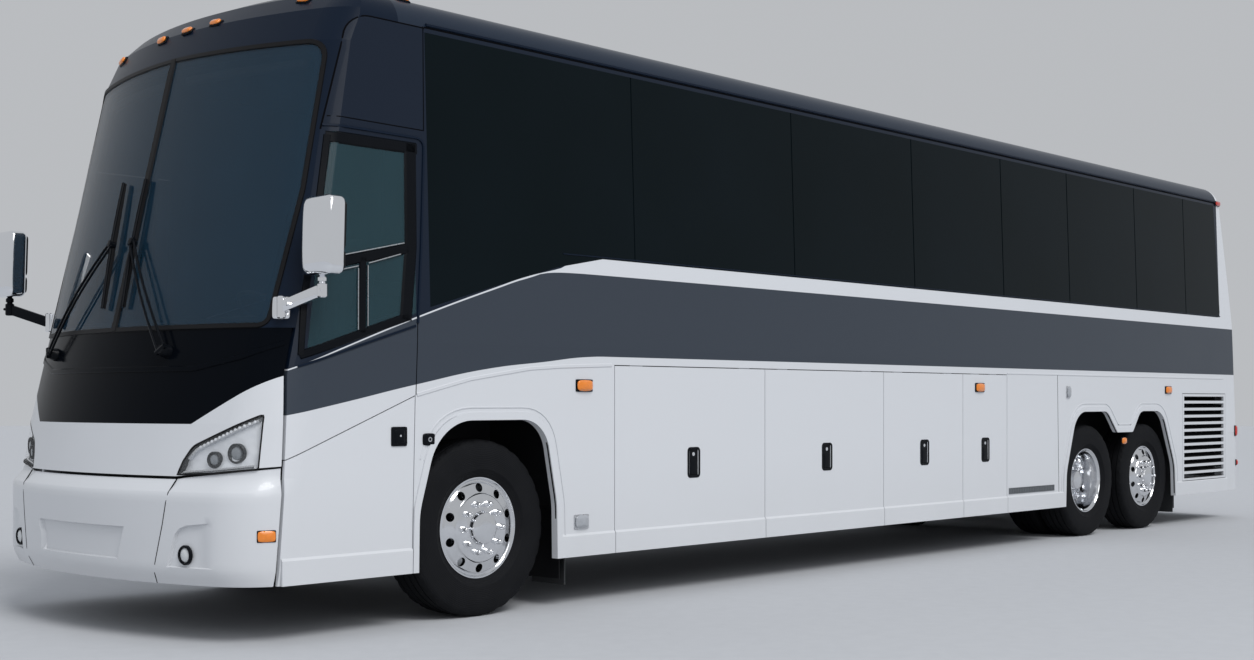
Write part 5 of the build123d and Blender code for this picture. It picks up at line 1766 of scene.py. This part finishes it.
def make_steering_wheel():
    """Padded rim with finger grips, three spokes, horn pad and the column"""
    place = facing(WHEEL_CENTRE, WHEEL_AXIS)
    form = bmesh.new()
    rings = []
    for step in range(72):
        angle = tau * step / 72
        out = Vector((cos(angle), sin(angle), 0))
        thick = 0.0140 + 0.0012 * cos(18 * angle)
        turns = [tau * side / 14 for side in range(14)]
        rings.append([
            place(out * (RIM_RADIUS + thick * cos(turn)) + UP * (0.016 + thick * sin(turn)))
            for turn in turns
        ])
    add_rings(form, rings, joined=True)
    for angle in map(radians, SPOKE_ANGLES):
        out = Vector((cos(angle), sin(angle), 0))
        side = Vector((-sin(angle), cos(angle), 0))
        bars = []
        for reach, wide, lift in SPOKE:
            middle = out * reach + UP * lift
            corners = ((-1, -1), (1, -1), (1, 1), (-1, 1))
            bars.append([place(middle + side * wide * a + UP * 0.006 * b) for a, b in corners])
        add_rings(form, bars)
    add_round(form, WHEEL_CENTRE, WHEEL_AXIS, HUB, 40)
    add_turned(form, WHEEL_CENTRE, WHEEL_AXIS, COLUMN, 28)
    make_piece("steering_wheel_detail", form, CAB_PLASTIC, "steering_wheel", ["steering_wheel"])


# Rows of Y, level and radius
DIALS = ((0.540, 1.675, 0.044), (0.700, 1.675, 0.044), (0.620, 1.690, 0.026), (0.440, 1.672, 0.022))
DIAL_AXIS = Vector((-1, 0, 0.25)).normalized()
HOOD_Z = 1.66


def make_instruments():
    """Hooded binnacle with dials and switch rows on the dashboard"""
    hood, rims, faces, switches = [bmesh.new() for _ in range(4)]
    add_cushion(hood, (front(1.185), 0.390, 1.610), (front(1.330), 0.850, 1.735), 0.030, 11, 0.010)
    for vert in hood.verts:
        vert.co.x -= 0.10 * max(0.0, vert.co.z - HOOD_Z)
    for y, z, radius in DIALS:
        base = Vector((front(1.180), y, z))
        inner = radius * 0.88
        rim = ((-0.012, radius), (0.004, radius), (0.007, radius * 0.94), (0.003, inner), (-0.012, inner))
        add_round(rims, base, DIAL_AXIS, rim, 36, joined=True)
        face = ((-0.012, 0.0), (-0.012, radius * 0.9), (0.0, inner), (0.001, 0.0))
        add_round(faces, base, DIAL_AXIS, face, 36)
    for row in range(2):
        for column in range(8):
            y = -0.300 + column * 0.075
            z = 1.565 + row * 0.045
            add_block(switches, (front(1.172), y - 0.020, z), (front(1.192), y + 0.020, z + 0.030), 0.004)
    rows = (
        ("binnacle", hood, CAB_PLASTIC),
        ("dial_rims", rims, BRIGHT_TRIM),
        ("dial_faces", faces, BLACK_TRIM),
        ("switches", switches, BLACK_TRIM),
    )
    make_pieces("", rows)


SEAT_Y = 0.620
CHANNELS = (0.22, 0.5, 0.78)


def pillow(low, high, radius, crown, channels, lean=None):
    """Crowned cushion whose sides pull in, with sewn channels across its face"""
    form = bmesh.new()
    add_cushion(form, low, high, radius, 27, crown)
    size = [b - a for a, b in zip(low, high)]
    for vert in form.verts:
        share = [(c - a) / s for c, a, s in zip(vert.co, low, size)]
        pinch = sin(pi * ramp(share[2], 1))
        for axis in (0, 1):
            middle = (low[axis] + high[axis]) / 2
            vert.co[axis] = middle + (vert.co[axis] - middle) * (1 - 0.012 * pinch)
        if share[2] > 0.6:
            for channel in channels:
                gap = abs(share[1] - channel) * size[1]
                vert.co.z -= 0.012 * max(0.0, 1 - gap / 0.016) ** 2
        if lean:
            vert.co = lean(vert.co)
    return form


def upright(place):
    """Point of the leaning back from its rise, Y and thickness"""
    rise, y, thick = place
    return Vector((front(0.590) - rise * 0.135 + thick * 0.99, y, 1.530 + rise))


def make_driver_seat():
    """Sprung seat: plinth, bellows, cushion, back, headrest and belt"""
    base, posts, belt = [bmesh.new() for _ in range(3)]
    add_block(base, (front(0.520), 0.480, 1.351), (front(0.820), 0.760, 1.366), 0.004)
    folds = [(0.012 * i, 0.118 if i % 2 else 0.104) for i in range(6)]
    add_round(base, (front(0.680), SEAT_Y, 1.360), UP, [(0, 0)] + folds + [(0.066, 0)], 36)
    add_cushion(base, (front(0.510), 0.400, 1.408), (front(0.940), 0.840, 1.452), 0.014, 9, 0.002)
    make_piece("seat_base", base, CAB_PLASTIC, replaces=["driver_seat"])
    low, high = (front(0.512), 0.388, 1.440), (front(0.952), 0.852, 1.532)
    cushion = make_piece("seat_cushion", pillow(low, high, 0.036, 0.012, CHANNELS), FABRIC)
    back = pillow((0.0, 0.400, -0.070), (0.500, 0.840, 0.022), 0.036, 0.012, CHANNELS, upright)
    make_piece("seat_back", back, FABRIC)
    rest = pillow((0.540, 0.490, -0.052), (0.690, 0.750, 0.014), 0.032, 0.010, (0.5,), upright)
    make_piece("headrest", rest, FABRIC)
    for y in (0.560, 0.680):
        add_tube(posts, [upright((rise, y, -0.020)) for rise in (0.470, 0.520, 0.570)], 0.006, 10)
    make_piece("headrest_posts", posts, CHROME)
    for y in (0.396, 0.844):
        add_cushion(belt, (front(0.560), y - 0.014, 1.420), (front(0.610), y + 0.014, 1.475), 0.010, 5)
    across = Vector((0, 0.019, 0.011))
    thin = Vector((0.0012, 0, 0))
    bands = []
    for rise in (0.10, 0.20, 0.30, 0.40, 0.49):
        point = upright((rise, 0.820 - 0.30 * (0.50 - rise), 0.030))
        bands.append([point + across * a + thin * b for a, b in ((-1, -1), (1, -1), (1, 1), (-1, 1))])
    add_rings(belt, bands)
    make_piece("seat_belt", belt, RUBBER)


BLIND_Z = 3.120


def make_sun_blinds():
    """Roller blind housings behind the head of the windscreens"""
    form = bmesh.new()
    for start in (0.080, -1.020):
        stations = [start + 0.940 * i / 10 for i in range(11)]
        add_tube(form, [Vector((front_x(y, BLIND_Z) - 0.075, y, BLIND_Z)) for y in stations], 0.028, 14)
    make_piece("sun_blinds", form, CAB_PLASTIC)


make_steering_wheel()
make_instruments()
make_driver_seat()
make_sun_blinds()

# Stage, lights and camera


def shown_colour(tree, seen, lit):
    """Colour that the camera and mirrors see beside the colour that lights the object"""
    rays = tree.nodes.new("ShaderNodeLightPath").outputs
    direct = maths(tree, "MAXIMUM", rays["Is Camera Ray"], rays["Is Glossy Ray"])
    direct = maths(tree, "MAXIMUM", direct, rays["Is Transmission Ray"])
    return mix_colour(tree, direct, lit, seen)


def pale_ground(tree):
    """Speckled matt grey"""
    speckle = noise(tree, object_axes(tree)[0], 9.0, 4.0)
    colour = mix_colour(tree, speckle, (0.50, 0.51, 0.53), (0.55, 0.56, 0.58))
    return {"Base Color": colour, "Roughness": 0.9, "Specular IOR Level": 0.1}


def make_floor():
    """Plain pale floor"""
    form = bmesh.new()
    bmesh.ops.create_grid(form, x_segments=1, y_segments=1, size=70)
    floor = new_object("floor", form)
    floor.data.materials.append(finish("floor_finish", pale_ground))


def make_world():
    """Even pale surround"""
    world = bpy.data.worlds.new("studio")
    world.use_nodes = True
    tree = world.node_tree
    seen = shown_colour(tree, (0.70, 0.72, 0.75), (0.80, 0.84, 0.90))
    fill(tree.nodes["Background"], {"Color": seen, "Strength": 0.70})
    bpy.context.scene.world = world


def add_to_scene(name, data, place, direction):
    """Object with the given data at a place, with its -Z axis along a direction"""
    made = bpy.data.objects.new(name, data)
    made.location = place
    made.rotation_euler = Vector(direction).to_track_quat("-Z", "Y").to_euler()
    bpy.context.collection.objects.link(made)
    return made


def make_lights():
    """Broad sun and a soft fill from the front left"""
    sun = bpy.data.lights.new("sun", "SUN")
    sun.angle = radians(26)
    sun.energy = 1.45
    add_to_scene("sun", sun, (0, 0, 0), (-0.12, -0.68, -0.85))
    fill_lamp = bpy.data.lights.new("fill", "AREA")
    fill_lamp.shape = "DISK"
    fill_lamp.size = 9
    fill_lamp.energy = 300
    place = Vector((9, 14, 9))
    add_to_scene("fill", fill_lamp, place, Vector((0, 0, 1.5)) - place)


CAMERA_PLACE = (11.095, 8.265, 1.269)
CAMERA_TURN = 132.466


def make_camera():
    """Camera at the photograph's place, level, with its horizon below the middle"""
    data = bpy.data.cameras.new("camera")
    data.lens = 46.25
    data.shift_y = 0.0566
    data.clip_end = 300
    camera = add_to_scene("camera", data, CAMERA_PLACE, (0, 0, -1))
    camera.rotation_euler = (radians(90), 0, radians(CAMERA_TURN))
    bpy.context.scene.camera = camera


make_floor()
make_world()
make_lights()
make_camera()
bpy.context.scene.view_settings.view_transform = "Standard"
